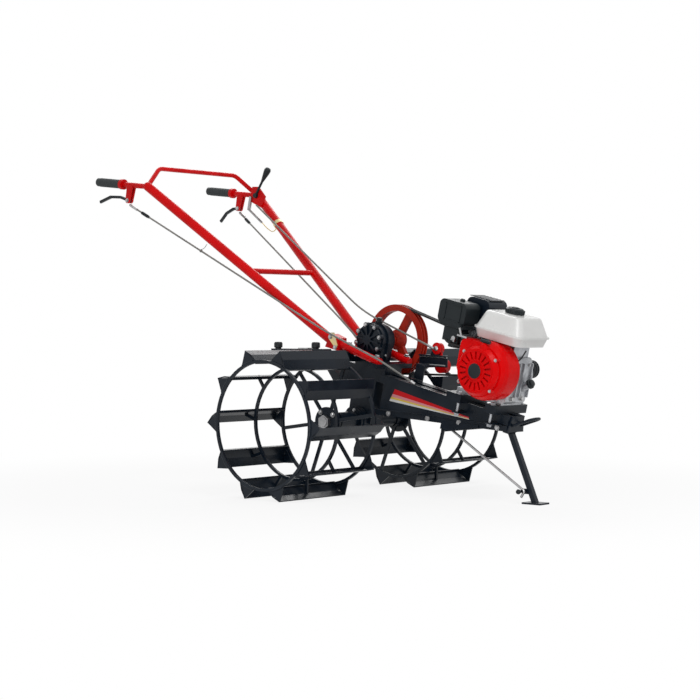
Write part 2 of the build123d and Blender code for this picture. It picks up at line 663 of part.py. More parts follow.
# Rear hitch bar, level when parked
HITCH_W = 246.0
HITCH_DEEP = 30.0
HITCH_HALF = 22.0
HITCH_BORE_R = 11.0
HITCH_BORE_X = -345.0
HITCH_BACK = -455.0
back_pad = Rot(0, BODY_PITCH, 0) * brick(CASE_BACK - 12, CASE_BACK, -CASE_HALF, CASE_HALF, PAD_LOW, PAD_HIGH)
hitch = slab(strip([(-50, 60), (-190, HITCH_W), (HITCH_BACK, HITCH_W)], HITCH_DEEP), -HITCH_HALF, HITCH_HALF)
hitch -= Pos(HITCH_BORE_X, 0, HITCH_W) * Cylinder(HITCH_BORE_R, 2 * HITCH_DEEP)
hitch -= Rot(0, BODY_PITCH, 0) * brick(CASE_BACK - 6, 200, -60, 60, -100, 400)
nodes["hitch_bar"] = ground * fuse([hitch, back_pad])
SCREW_R = 12.0
SCREW_HIGH = 24.0
screws = []
for x in (HITCH_BACK + 17, HITCH_BORE_X + 105):
    low = HITCH_W + HITCH_DEEP / 2
    screws.append(rod((x, 0, low), (x, 0, low + SCREW_HIGH), SCREW_R))
nodes["hitch_screws"] = ground * Compound(screws)

# Hand levers between two cheeks on the grip tubes; the left one is drawn further in
LEVER_PIN = (-1128.0, 600.0)
LEVER_HALF = 4.0
CHEEK_GAP = 0.3
CHEEK = 7.0
LEVERS = (
    (-1, "right", ((-1180.0, 604.0), (-1240.0, 594.0), (-1299.0, 562.0))),
    (1, "left", ((-1162.0, 592.0), (-1198.0, 566.0), (-1225.0, 525.0))),
)
grip_rise = (HANDLE_BEND[1] - GRIP_END[1]) / (HANDLE_BEND[0] - GRIP_END[0])
cheek_top = GRIP_END[1] + grip_rise * (LEVER_PIN[0] - GRIP_END[0])
cheek = Polygon(
    (LEVER_PIN[0] - 11, LEVER_PIN[1]),
    (LEVER_PIN[0] + 11, LEVER_PIN[1]),
    (LEVER_PIN[0] + 16, cheek_top),
    (LEVER_PIN[0] - 16, cheek_top),
    align=None,
)
cheek += Pos(*LEVER_PIN) * Circle(11)
for side, name, bends in LEVERS:
    y = side * HANDLE_Y
    lever = slab(strip((LEVER_PIN,) + bends, 11), y - LEVER_HALF, y + LEVER_HALF)
    lever += disc(*LEVER_PIN, 9, y - LEVER_HALF, y + LEVER_HALF)
    nodes["lever_" + name] = tilted * lever
    reach = LEVER_HALF + CHEEK_GAP
    cheeks = [slab(cheek, y - reach - CHEEK, y - reach), slab(cheek, y + reach, y + reach + CHEEK)]
    nodes["lever_clamp_" + name] = tilted * Compound([piece - held for piece in cheeks])

# Clutch lever with its pear-shaped knob, on a plate at the left handle
CLUTCH_FOOT = (-1002.0, 676.0)
CLUTCH_TOP = (-958.0, 786.0)
CLUTCH_Y = 260.0
QUADRANT = (266.0, 272.0)
quadrant = slab([(-1040, 648), (-962, 632), (-952, 682), (-1000, 714), (-1034, 708)], *QUADRANT)
nodes["clutch_quadrant"] = tilted * (quadrant - held)
foot = (CLUTCH_FOOT[0], CLUTCH_Y, CLUTCH_FOOT[1])
top = (CLUTCH_TOP[0], CLUTCH_Y, CLUTCH_TOP[1])
knob = turned([(0, -52), (5, -52), (13, -8), (14, 4), (10, 13), (0, 16)])
knob = Plane(top, z_dir=Vector(*top) - Vector(*foot)) * Rot(90, 0, 0) * knob
nodes["clutch_lever"] = tilted * fuse([
    rod(foot, top, 5),
    knob,
    disc(*CLUTCH_FOOT, 10, CLUTCH_Y - 6, QUADRANT[0]),
])

# Stand, drawn parked about the axle
pivot = level(*PIVOT)
sole = -AXLE_Z
SOLE_PLATE = 6.0
LEG_WIDE = 2 * STAND_HALF
STAY_PIN = (STAND_FOOT_X - 44.0, sole + 42)
STAY_PIN_R = 5.0
STAY_Y = -24.0
LUG_THICK = 7.0
leg = fuse([
    slab(strip([pivot, (STAND_FOOT_X, sole + SOLE_PLATE / 2)], LEG_WIDE), -STAND_HALF, STAND_HALF),
    disc(*pivot, 14, -STAND_HALF, STAND_HALF),
    brick(STAND_FOOT_X - FOOT_HALF, STAND_FOOT_X + FOOT_HALF, -28, 28, sole, sole + SOLE_PLATE),
    slab(strip([STAY_PIN, (STAY_PIN[0] + 32, STAY_PIN[1])], 18), -STAND_HALF, -STAND_HALF + LUG_THICK),
    disc(*STAY_PIN, STAY_PIN_R, STAY_Y - 9, -STAND_HALF + LUG_THICK),
])
leg -= disc(*pivot, STAND_PIN_R + RUN_FIT, -EAR_GAP, EAR_GAP)
leg -= brick(STAND_FOOT_X - 150, STAND_FOOT_X + 150, -100, 100, sole - 50, sole)
nodes["stand_leg"] = ground * leg

# The stay turns on a cross rod between the brackets and hooks over the leg's pin
STAY_R = 4.5
anchor = Vector(*level(*STAY_ROD))
pin = Vector(*STAY_PIN)
along = (pin - anchor).normalized()
above = Vector(-along.Y, along.X)
clear = STAY_PIN_R + STAY_R + 0.6
turn_down = pin + above * clear + along * (clear + 1.5)
hook_end = turn_down - above * 26
hook = bent([(p.X, STAY_Y, p.Y) for p in (anchor, turn_down, hook_end)], 6.5, STAY_R)
stay = fuse([hook, disc(anchor.X, anchor.Y, 9, STAY_Y - 6, STAY_Y + 6)])
nodes["stand_stay"] = ground * (stay - disc(anchor.X, anchor.Y, STAY_ROD_R + RUN_FIT, -60, 0))

# Control cables, each whole, from a lever to what it works
CABLE_R = 3.5
CABLES = (
    ("cable_right", (500, 90), (
        (-1122, -305, 584), (-156, -128, 304), (118, -110, 258), (238, -40, 201),
    )),
    ("cable_left", (350,), (
        (-1122, 305, 584), (-250, 58, 328), (-58, 48, 236.5),
    )),
    ("cable_clutch", (700,), (
        (-978, 250, 640), (-178, 98, 372), (196, 94, 318),
    )),
)
for name, bends, points in CABLES:
    nodes[name] = tilted * bent(points, list(bends), CABLE_R)

os.makedirs("parts", exist_ok=True)
for name, shape in nodes.items():
    export_step(shape, "parts/" + name + ".step")
    print(name, len(shape.solids()))
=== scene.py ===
# %% [markdown]
# A walking tractor on open cage wheels, dressed over its CAD frame. The CAD solids have the true outlines
# already. They could be modelled once more in Blender, but two models drift apart, so the solids stay and
# get finishes. Only what a workshop bolts, welds, hangs or prints on afterwards is added around them.
# Lengths in the scene are metres, in the frame of the CAD model.

# %% Load the frame
import json
import math
import bpy
import bmesh
from mathutils import Matrix, Vector


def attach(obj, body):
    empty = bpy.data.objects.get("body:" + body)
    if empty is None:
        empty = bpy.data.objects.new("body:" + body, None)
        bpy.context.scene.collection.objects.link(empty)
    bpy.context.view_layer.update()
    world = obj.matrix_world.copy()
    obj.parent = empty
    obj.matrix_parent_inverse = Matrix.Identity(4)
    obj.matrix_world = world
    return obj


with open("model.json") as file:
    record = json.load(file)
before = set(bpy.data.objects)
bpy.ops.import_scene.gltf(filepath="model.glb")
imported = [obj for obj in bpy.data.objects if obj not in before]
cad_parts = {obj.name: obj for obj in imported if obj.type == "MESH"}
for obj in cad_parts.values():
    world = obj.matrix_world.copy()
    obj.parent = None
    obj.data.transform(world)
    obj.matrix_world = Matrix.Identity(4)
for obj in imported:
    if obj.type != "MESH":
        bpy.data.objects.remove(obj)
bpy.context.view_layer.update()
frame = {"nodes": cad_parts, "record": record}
nodes = frame["nodes"]

# %% [markdown]
# The machine is parked on its front stand, pitched nose down about its axle. Fittings could be placed in
# parked coordinates, but on the level machine most of them have plain numbers. So one matrix turns a
# level place, in millimetres forward, left and up from the axle, into the parked one. A second matrix,
# without the pitch, serves the wheels, the hitch and the leg's knob. The axle is read from the wheel's
# joint.

# %% The level machine
NOSE_DOWN = math.radians(13.3)
MILLIMETRE = 0.001
joints = frame["record"]["behaviour"]["joints"]
axle = Vector(next(joint["pos_m"] for joint in joints if joint["name"] == "wheel_right_spin"))
upright = Matrix.Translation(axle) @ Matrix.Scale(MILLIMETRE, 4)
parked = Matrix.Translation(axle) @ Matrix.Rotation(NOSE_DOWN, 4, "Y") @ Matrix.Scale(MILLIMETRE, 4)
print("axle at", [round(v, 4) for v in axle])

# %% [markdown]
# The picture shows the machine from low in front of its right wheel, from far off, through a long lens. A
# camera can be aimed at an empty, or its angles can be typed in. This one was fitted to the rings of both
# wheels and the ends of the handles, which gave a place, a direction and a lens, so it is set from those
# three.

# %% Camera
EYE = Vector((4.3580, -4.8097, 0.6038))
LOOK = Vector((-0.6630, 0.7485, -0.0131))
LENS = 88.32
SENSOR = 36.0
CLIP_END = 60.0
camera_data = bpy.data.cameras.new("camera")
camera_data.lens = LENS
camera_data.sensor_width = SENSOR
camera_data.clip_end = CLIP_END
camera = bpy.data.objects.new("camera", camera_data)
camera.location = EYE
camera.rotation_euler = LOOK.to_track_quat("-Z", "Y").to_euler()
bpy.context.scene.collection.objects.link(camera)
bpy.context.scene.camera = camera
bpy.context.scene.view_settings.view_transform = "Standard"
print("lens", LENS, "mm at", [round(v, 3) for v in EYE])

# %% [markdown]
# A finish is a small tree of shader nodes, which can be wired by hand in the shader editor or by a
# script. Here the trees are written as sums and products, because those read like the recipe of a paint.
# One class wraps a socket: adding, subtracting or multiplying adds a Math node, and any other node comes
# from one method.


# %% Shader sums
class Wire:
    """One socket of a finish; sums and products of wires add Math nodes."""

    def __init__(self, tree, socket=None):
        self.tree = tree
        self.socket = socket

    def node(self, kind, settings=None, values=None, out=0):
        """The wire of one output of a new node, with its settings and its sockets' values or links."""
        made = self.tree.nodes.new("ShaderNode" + kind)
        for name, value in (settings or {}).items():
            setattr(made, name, value)
        for name, value in (values or {}).items():
            if isinstance(value, Wire):
                self.tree.links.new(value.socket, made.inputs[name])
            else:
                made.inputs[name].default_value = value
        return Wire(self.tree, made.outputs[out])

    def maths(self, operation, left, right):
        return self.node("Math", {"operation": operation}, {0: left, 1: right})

    def __add__(self, other):
        return self.maths("ADD", self, other)

    def __radd__(self, other):
        return self.maths("ADD", other, self)

    def __sub__(self, other):
        return self.maths("SUBTRACT", self, other)

    def __rsub__(self, other):
        return self.maths("SUBTRACT", other, self)

    def __mul__(self, other):
        return self.maths("MULTIPLY", self, other)

    def __rmul__(self, other):
        return self.maths("MULTIPLY", other, self)

    def blend(self, low, high):
        """A colour between two, with this wire as the mask."""
        values = {0: self, 6: low, 7: high}
        return self.node("Mix", {"data_type": "RGBA", "clamp_factor": True}, values, out=2)

    def ramp(self, low, high, to_low=0.0, to_high=1.0):
        """This wire, spread from one range to another and held inside it."""
        values = {0: self, 1: low, 2: high, 3: to_low, 4: to_high}
        return self.node("MapRange", {"interpolation_type": "SMOOTHSTEP"}, values)


print("wires can be added, subtracted, multiplied, blended and ramped")

# %% [markdown]
# Real surfaces vary in patches, and dust lies on what looks up. Patches could be painted by hand in an
# image. Noise needs no image and no unwrapping, and its blobs are given in metres here, so that a finish
# keeps its scale on every piece. The slope of a face tells where dust can lie. Bump gives a texture too
# fine to model.


# %% Noise, slope and bump
BLOB_AT_SCALE_ONE = 0.5
BUMP_DEEP = 0.001


def rgb(red, green, blue):
    return (red, green, blue, 1.0)


def place(start):
    """The place on a piece, in its own metres."""
    return start.node("TexCoord", out=3)


def grain(start, size, detail=3.0):
    """Cloudy noise with blobs of about the given size in metres."""
    values = {"Vector": place(start), "Scale": BLOB_AT_SCALE_ONE / size, "Detail": detail, "Roughness": 0.6}
    return start.node("TexNoise", {"noise_dimensions": "3D"}, values)


def facing_up(start):
    """One on a face that looks straight up, nought on a wall."""
    normal = start.node("NewGeometry", out=1)
    return start.node("SeparateXYZ", None, {0: normal}, out=2)


def bump(start, height, strength):
    return start.node("Bump", None, {"Height": height, "Strength": strength, "Distance": BUMP_DEEP})


print("noise of scale 1 has blobs of about", BLOB_AT_SCALE_ONE, "m")

# %% [markdown]
# Paint, metal, rubber and plastic could each get a shader of their own. The Principled shader covers them
# all, so a finish is one material with that shader, and a recipe says what goes into which socket: a
# number or a colour is set on the socket itself, and only what changes over the surface is linked to it.


# %% From recipe to finish
finishes = {}


def finish(name, recipe):
    """A material whose shader sockets are set or fed as the recipe says."""
    material = bpy.data.materials.new(name)
    material.use_nodes = True
    shader = material.node_tree.nodes["Principled BSDF"]
    for socket, value in recipe(Wire(material.node_tree)).items():
        if isinstance(value, Wire):
            material.node_tree.links.new(value.socket, shader.inputs[socket])
        else:
            shader.inputs[socket].default_value = value
    finishes[name] = material
    return material


print("a finish is a recipe on one Principled shader")

# %% [markdown]
# Most of the machine is sprayed. One flat colour would look like plastic, and painted images would be
# heavy. Sprayed metal has cloudy patches where it is duller, fine specks, pale dust on faces that look up
# and the waviness of a thick coat. One recipe with noise gives all four, so every paint here wears in the
# same way.


# %% Sprayed paint
DUST = rgb(0.30, 0.29, 0.27)
PATCH_SIZE = 0.05
SPECK_SIZE = 0.004
DUST_SIZE = 0.02
WAVE_SIZE = 0.0035
WAVE_STRENGTH = 0.004


def sprayed(colour, shade, rough, dusty, coat, gloss):
    """Paint in patches of two close colours, with specks, waves and some dust."""
    def recipe(start):
        patches = grain(start, PATCH_SIZE).ramp(0.35, 0.68)
        specks = grain(start, SPECK_SIZE, 2.0).ramp(0.62, 0.74)
        level = facing_up(start).ramp(0.55, 1.0)
        settled = level * grain(start, DUST_SIZE, 5.0).ramp(0.35, 0.75) * dusty
        return {
            "Base Color": settled.blend(patches.blend(colour, shade), DUST),
            "Roughness": patches * 0.10 + specks * 0.06 + settled * 0.5 + rough,
            "Normal": bump(start, grain(start, WAVE_SIZE, 1.0), WAVE_STRENGTH),
            "Specular IOR Level": gloss,
            "Coat Weight": coat,
            "Coat Roughness": 0.12,
        }
    return recipe


print("dust of colour", DUST[:3], "settles on paint")

# %% [markdown]
# Black covers the wheels, frame and gear case, one red the handles, a brighter red the engine's covers, a
# brick red the driven pulley, and white the tank. Colours here are linear, so a dark paint has a very
# small number. The black leans to blue as in daylight. The reds have little gloss, which keeps white
# light from paling them.

# %% The paints
deep_black, worn_black = rgb(0.0030, 0.0068, 0.0130), rgb(0.005, 0.0100, 0.0180)
finish("black_paint", sprayed(deep_black, worn_black, rough=0.27, dusty=0.14, coat=0.04, gloss=0.2))
bright_red, dull_red = rgb(0.66, 0.002, 0.003), rgb(0.55, 0.002, 0.003)
finish("red_paint", sprayed(bright_red, dull_red, rough=0.26, dusty=0.02, coat=0.04, gloss=0.11))
cover_red, shaded_red = rgb(0.74, 0.001, 0.002), rgb(0.64, 0.001, 0.002)
finish("engine_red", sprayed(cover_red, shaded_red, rough=0.24, dusty=0.02, coat=0.02, gloss=0.07))
brick_red, brown_red = rgb(0.42, 0.022, 0.008), rgb(0.33, 0.018, 0.008)
finish("pulley_paint", sprayed(brick_red, brown_red, rough=0.36, dusty=0.04, coat=0.02, gloss=0.15))
clean_white, soft_white = rgb(0.72, 0.72, 0.71), rgb(0.69, 0.69, 0.68)
finish("tank_white", sprayed(clean_white, soft_white, rough=0.24, dusty=0.0, coat=0.2, gloss=0.4))
print(len(finishes), "paints")

# %% [markdown]
# Bare metal comes in three kinds: sand-cast aluminium on the engine, turned or drawn steel on shafts and
# bolts, and yellow zinc on small brackets. A mirror with scratches would be too clean for them. A cloud
# of two close colours, rougher where it is darker, and a fine bump that is strong only on the castings
# tell the three apart.


# %% Bare metal
def bare(colour, shade, rough, size, depth, metal):
    """Metal in clouds of the given size, with a fine bump."""
    def recipe(start):
        cloud = grain(start, size, 4.0).ramp(0.3, 0.7)
        fine = grain(start, size * 0.15, 2.0)
        return {
            "Base Color": cloud.blend(colour, shade),
            "Metallic": metal,
            "Roughness": cloud * 0.16 + fine * 0.08 + rough,
            "Normal": bump(start, fine, depth),
        }
    return recipe


pale_cast, grey_cast = rgb(0.46, 0.47, 0.49), rgb(0.34, 0.35, 0.37)
finish("cast_metal", bare(pale_cast, grey_cast, rough=0.34, size=0.012, depth=0.35, metal=0.85))
pale_steel, grey_steel = rgb(0.46, 0.46, 0.46), rgb(0.34, 0.34, 0.35)
finish("steel", bare(pale_steel, grey_steel, rough=0.22, size=0.02, depth=0.08, metal=1.0))
yellow_zinc, grey_zinc = rgb(0.66, 0.52, 0.22), rgb(0.58, 0.50, 0.34)
finish("zinc", bare(yellow_zinc, grey_zinc, rough=0.26, size=0.012, depth=0.10, metal=1.0))
print(len(finishes), "finishes with the metals")

# %% [markdown]
# The grips, belts, knobs and cable sheaths are rubber or moulded plastic. Modelling their grain would
# take millions of faces. They are matt with soft highlights, so a low specular level, slow clouds in the
# roughness and a bump of a millimetre or two are enough.


# %% Rubber and plastic
SOFT_CLOUD = 0.03
SOFT_GLOSS = 0.25


def moulded(colour, shade, rough, size, depth):
    """Soft or moulded stuff with a grain of the given size."""
    def recipe(start):
        cloud = grain(start, SOFT_CLOUD).ramp(0.3, 0.7)
        fine = grain(start, size, 1.0)
        return {
            "Base Color": cloud.blend(colour, shade),
            "Roughness": cloud * 0.12 + rough,
            "Normal": bump(start, fine, depth),
            "Specular IOR Level": SOFT_GLOSS,
        }
    return recipe


deep_plastic, worn_plastic = rgb(0.006, 0.010, 0.0125), rgb(0.010, 0.0145, 0.017)
finish("black_plastic", moulded(deep_plastic, worn_plastic, rough=0.36, size=0.0016, depth=0.2))
deep_rubber, worn_rubber = rgb(0.028, 0.034, 0.036), rgb(0.042, 0.048, 0.050)
finish("grip_rubber", moulded(deep_rubber, worn_rubber, rough=0.55, size=0.0018, depth=0.3))
deep_belt, worn_belt = rgb(0.016, 0.017, 0.018), rgb(0.028, 0.029, 0.030)
finish("belt_rubber", moulded(deep_belt, worn_belt, rough=0.6, size=0.0012, depth=0.3))
deep_sheath, worn_sheath = rgb(0.18, 0.18, 0.17), rgb(0.25, 0.25, 0.235)
finish("cable_sheath", moulded(deep_sheath, worn_sheath, rough=0.35, size=0.002, depth=0.1))
print(len(finishes), "finishes in all")

# %% [markdown]
# Each CAD node stands for one made piece, and the record names the stuff it is made of. The nodes could
# be painted one by one. The finishes above have the names of the record's slots, so one loop paints them
# all and a node that is added later gets its finish without a new line.

# %% Paint the CAD nodes
for subpart in frame["record"]["subparts"]:
    mesh = nodes[subpart["node"]].data
    mesh.materials.clear()
    mesh.materials.append(finishes[subpart["material_slot"]])
print("painted", len(nodes), "nodes")

# %% [markdown]
# Bolts, caps, knobs and rods are turned shapes. Blender's cylinder and its Screw modifier could make
# them, one object for each. This machine has dozens in rows, so a shape here is a function that adds
# itself to a mesh, and one object holds a whole row. A profile of radius and height pairs is spun about
# an axis. The size of a bolt is the radius and height of its head.


# %% Turned shapes
WASHER_WIDE = 1.35
WASHER_HIGH = 0.2
CHAMFER = 0.85


def spun(at, along, profile, sides=24, hollow=False):
    """A turned shape from radius and height pairs; a hollow one joins its last pair to its first."""
    put = Matrix.Translation(at) @ Vector(along).to_track_quat("Z", "Y").to_matrix().to_4x4()
    turns = [math.tau * i / sides for i in range(sides)]

    def add(kit):
        rows = []
        for radius, height in profile:
            spots = [put @ Vector((radius * math.cos(t), radius * math.sin(t), height)) for t in turns]
            rows.append([kit.verts.new(spot) for spot in spots])
        for low, high in zip(rows, rows[1:] + rows[:1] * hollow):
            for i in range(sides):
                kit.faces.new((low[i - 1], low[i], high[i], high[i - 1]))
        if not hollow:
            kit.faces.new(rows[0][::-1])
            kit.faces.new(rows[-1])
    return add


def pin(start, end, radius, sides=20):
    """A round rod between two places."""
    start, end = Vector(start), Vector(end)
    return spun(start, end - start, [(radius, 0), (radius, (end - start).length)], sides)


def collar(at, along, inner, outer, high):
    """A short sleeve around a tube."""
    return spun(at, along, [(inner, 0), (outer, 0), (outer, high), (inner, high)], 32, hollow=True)


def bolt(at, along, radius, high):
    """A washer under a six-sided head with a chamfered top."""
    rim, seat = WASHER_WIDE * radius, WASHER_HIGH * high
    washer = spun(at, along, [(rim, 0), (rim, seat)])
    head = spun(at, along, [(radius, seat), (radius, CHAMFER * high), (CHAMFER * radius, high)], 6)

    def add(kit):
        washer(kit)
        head(kit)
    return add


print("turned shapes: spun, pin, collar and bolt")

# %% [markdown]
# Cleats, brackets, guards and stripes are flat. A scaled cube would do for the square ones only. An
# outline in u and w, the forward and upward lengths of the level machine, given a thickness along y, does
# for all of them.


# %% Flat shapes
def plate(outline, y0, y1):
    """A flat shape in u and w, from y0 to y1."""
    def add(kit):
        near = [kit.verts.new((u, y0, w)) for u, w in outline]
        far = [kit.verts.new((u, y1, w)) for u, w in outline]
        kit.faces.new(near)
        kit.faces.new(far[::-1])
        for i in range(len(near)):
            kit.faces.new((near[i - 1], near[i], far[i], far[i - 1]))
    return add


def block(low, high):
    """A box between two corners."""
    (u0, y0, w0), (u1, y1, w1) = low, high
    return plate([(u0, w0), (u1, w0), (u1, w1), (u0, w1)], y0, y1)


print("flat shapes: plate and block")

# %% [markdown]
# A fitting has to move with the piece it sits on. Its shapes go into one mesh, are put in place by one
# of the two matrices, and keep sharp edges where faces meet steeply.


# %% From shapes to a fitting
SHARP = math.radians(35)


def settle(made, body, slot):
    """Paints a new piece and lets it ride on a body."""
    made.data.materials.append(finishes[slot])
    bpy.context.scene.collection.objects.link(made)
    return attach(made, body)


def fit(name, body, slot, shapes, matrix):
    """One object of all these shapes, in place, riding on a body with the slot's finish."""
    kit = bmesh.new()
    for add in shapes:
        add(kit)
    kit.transform(matrix)
    bmesh.ops.recalc_face_normals(kit, faces=kit.faces)
    for face in kit.faces:
        face.smooth = True
    for edge in kit.edges:
        edge.smooth = edge.calc_face_angle(0.0) < SHARP
    mesh = bpy.data.meshes.new(name)
    kit.to_mesh(mesh)
    kit.free()
    return settle(bpy.data.objects.new(name, mesh), body, slot)


# %% [markdown]
# Leads, hoses and wires hang in free bends. They could be swept by hand as rings of points. A curve with
# a round bevel bends smoothly through a few points, and its handles need no care when they are automatic.


# %% Hoses and wires
def hose(name, slot, points, radius):
    """A round hose or wire on the chassis, bending smoothly through points of the level machine."""
    data = bpy.data.curves.new(name, "CURVE")
    data.dimensions = "3D"
    data.bevel_depth = MILLIMETRE * radius
    data.bevel_resolution = 3
    data.use_fill_caps = True
    line = data.splines.new("BEZIER")
    line.bezier_points.add(len(points) - 1)
    for knot, at in zip(line.bezier_points, points):
        knot.co = parked @ Vector(at)
        knot.handle_left_type = knot.handle_right_type = "AUTO"
    return settle(bpy.data.objects.new(name, data), "chassis", slot)


print("hoses bend through points in millimetres")

# %% [markdown]
# A cage wheel is welded from rings and lugs and bolted to its axle by a flange. The CAD cage has the
# plates and rings but not what a welder and a fitter leave: a bead where each lug's gusset meets an outer
# ring, and four bolts through the hub flange. A sculpted bead would not show at this size, so each is two
# short thick pins.


# %% Wheel fittings
def around(radius, count, first=0.0):
    """Places on a circle, as u and w pairs."""
    turns = [math.radians(first) + math.tau * i / count for i in range(count)]
    return [(radius * math.cos(t), radius * math.sin(t)) for t in turns]


HUB_FACE = 206.0
HUB_BOLTS_R = 43.0
HUB_BOLTS_TURN = 38.0
HUB_BOLT = (7.0, 8.0)
RING_R = 224.5
RING_Y = (197.7, 534.5)
LUGS = 10
FIRST_LUG = 72.0
BEAD_R = 2.6
BEAD_OUT = 6.0
BEAD_BESIDE = 3.5
BEAD_TURNS = (-7.0, 0.0, 7.0)
for side, body in ((-1, "wheel_right"), (1, "wheel_left")):
    out = (0, side, 0)
    spots = around(HUB_BOLTS_R, 4, HUB_BOLTS_TURN)
    heads = [bolt((u, side * HUB_FACE, w), out, *HUB_BOLT) for u, w in spots]
    fit(body + "_bolts", body, "steel", heads, upright)
    beads = []
    for y in RING_Y:
        for lug in range(LUGS):
            middle = FIRST_LUG + lug * 360 / LUGS
            spots = [around(RING_R + BEAD_OUT, 1, middle + turn)[0] for turn in BEAD_TURNS]
            ends = [(u, side * (y + BEAD_BESIDE), w) for u, w in spots]
            beads += [pin(a, b, BEAD_R, 8) for a, b in zip(ends, ends[1:])]
    fit(body + "_welds", body, "black_paint", beads, upright)
    print(body, "has", len(heads), "bolts and", len(beads), "lengths of bead")

# %% [markdown]
# The gear case is two castings and a ribbed cover, held together by bolts: around the cover, along the
# split flange and on the axle flanges. Copies of one bolt could be set by an array. The bolts follow a
# circle and a tapering edge, so each place is worked out from the input shaft and all of them go into one
# object.

# %% Gear case fittings
RIGHT, LEFT = (0, -1, 0), (0, 1, 0)
UP, DOWN = (0, 0, 1), (0, 0, -1)
INPUT = Vector((-8.0, 303.0))
COVER_BOSSES = 8
COVER_BOSS_AT = 56.0
COVER_BOSS_FACE = -48.0
COVER_BOLT = (5.5, 5.5)
SPLIT_SHARES = (0.25, 0.45, 0.65, 0.85)
SPLIT_LOW_R = 53.5
SPLIT_GROWS = 10.0
SPLIT_FACE = -6.0
SPLIT_BOLT = (4.2, 5.0)
FLANGE_FACE = 62.0
FLANGE_BOLTS = 6
FLANGE_BOLTS_R = 39.0
FLANGE_BOLTS_TURN = 30.0
FLANGE_BOLT = (5.0, 5.0)
FILLER_TOP = 68.0
FILLER_PLUG = [(15, 0), (15, 5), (11, 6), (11, 14), (9, 16)]
heads = []
for u, w in around(COVER_BOSS_AT, COVER_BOSSES, 180.0 / COVER_BOSSES):
    heads.append(bolt((INPUT.x + u, COVER_BOSS_FACE, INPUT.y + w), RIGHT, *COVER_BOLT))
across = Vector((INPUT.y, -INPUT.x)).normalized()
for share in SPLIT_SHARES:
    for edge in (-1, 1):
        spot = INPUT * share + across * edge * (SPLIT_LOW_R + SPLIT_GROWS * share)
        heads.append(bolt((spot.x, SPLIT_FACE, spot.y), RIGHT, *SPLIT_BOLT))
for side in (-1, 1):
    for u, w in around(FLANGE_BOLTS_R, FLANGE_BOLTS, FLANGE_BOLTS_TURN):
        heads.append(bolt((u, side * FLANGE_FACE, w), (0, side, 0), *FLANGE_BOLT))
fit("case_bolts", "chassis", "steel", heads, parked)
plug = spun((INPUT.x, 0, INPUT.y + FILLER_TOP), UP, FILLER_PLUG, 6)
fit("case_plug", "chassis", "black_plastic", [plug], parked)
print(len(heads), "case bolts and a filler plug")

# %% [markdown]
# Two belts run from the engine to the driven pulley. A nut holds each pulley and has to turn with it, so
# it rides on that pulley's body. A nut that rode on the chassis would stand still while its pulley spins.

# %% Pulley nuts
CRANK = Vector((602.0, 343.0))
PULLEY_FACE = 143.0
ENGINE_NUT_FACE = PULLEY_FACE + 6
DRIVEN_NUT = (13.0, 12.0)
ENGINE_NUT = (9.0, 8.0)
nut = bolt((INPUT.x, PULLEY_FACE, INPUT.y), LEFT, *DRIVEN_NUT)
fit("driven_pulley_nut", "driven_pulley", "steel", [nut], parked)
nut = bolt((CRANK.x, ENGINE_NUT_FACE, CRANK.y), LEFT, *ENGINE_NUT)
fit("engine_pulley_nut", "engine_pulley", "steel", [nut], parked)
print("a nut on each pulley")

# %% [markdown]
# Between the pulleys a keeper guides the belts, and a red tensioner presses on them. On the right of the
# keeper show the tensioner's red cap with its pin and two light bars. They could be cut into the solids.
# As fittings they keep their own finishes, which one CAD node can't have.

# %% Belt keeper fittings
PIVOT_CAP = Vector((203.0, 321.0))
KEEPER_FACE = 98.0
KEEPER_BACK = (134.0, 261.2)
KEEPER_AHEAD = (258.0, 284.7)
BAR_DROPS = (-15.0, 15.0)
BAR_R = 3.0
BAR_FACE = KEEPER_FACE - 2.5
PIN_FACE = KEEPER_FACE - 3
CAP_DISC = [(22, 0), (22, 2), (19, 3.2)]
CAP_PIN = [(9, 0), (9, 3), (6, 5)]
disc = spun((PIVOT_CAP.x, KEEPER_FACE, PIVOT_CAP.y), RIGHT, CAP_DISC)
fit("tensioner_cap", "chassis", "red_paint", [disc], parked)
cap = spun((PIVOT_CAP.x, PIN_FACE, PIVOT_CAP.y), RIGHT, CAP_PIN)
fit("tensioner_pin", "chassis", "steel", [cap], parked)
bars = []
for drop in BAR_DROPS:
    ends = [(u, BAR_FACE, w + drop) for u, w in (KEEPER_BACK, KEEPER_AHEAD)]
    bars.append(pin(ends[0], ends[1], BAR_R, 10))
fit("keeper_bars", "chassis", "steel", bars, parked)
print("a cap, its pin and", len(bars), "bars at the belt keeper")

# %% [markdown]
# The side plates carry a printed wedge of four bands, red, pink, yellow and white, that run out to one
# point. A picture on the plate would need unwrapping. Each band is a plate half a millimetre thick
# between two lines from the wedge's back edge to its tip, so its edges stay crisp from any distance.

# %% Wedge stripes
BACK_TOP, BACK_LOW = Vector((160.0, 160.0)), Vector((144.0, 112.0))
TIP_TOP, TIP_LOW = Vector((508.0, 150.0)), Vector((512.0, 142.0))


def band(begin, end):
    """The outline between two shares of the wedge's height."""
    backs = [BACK_TOP.lerp(BACK_LOW, share) for share in (begin, end)]
    tips = [TIP_TOP.lerp(TIP_LOW, share) for share in (begin, end)]
    return [backs[0], tips[0], tips[1], backs[1]]


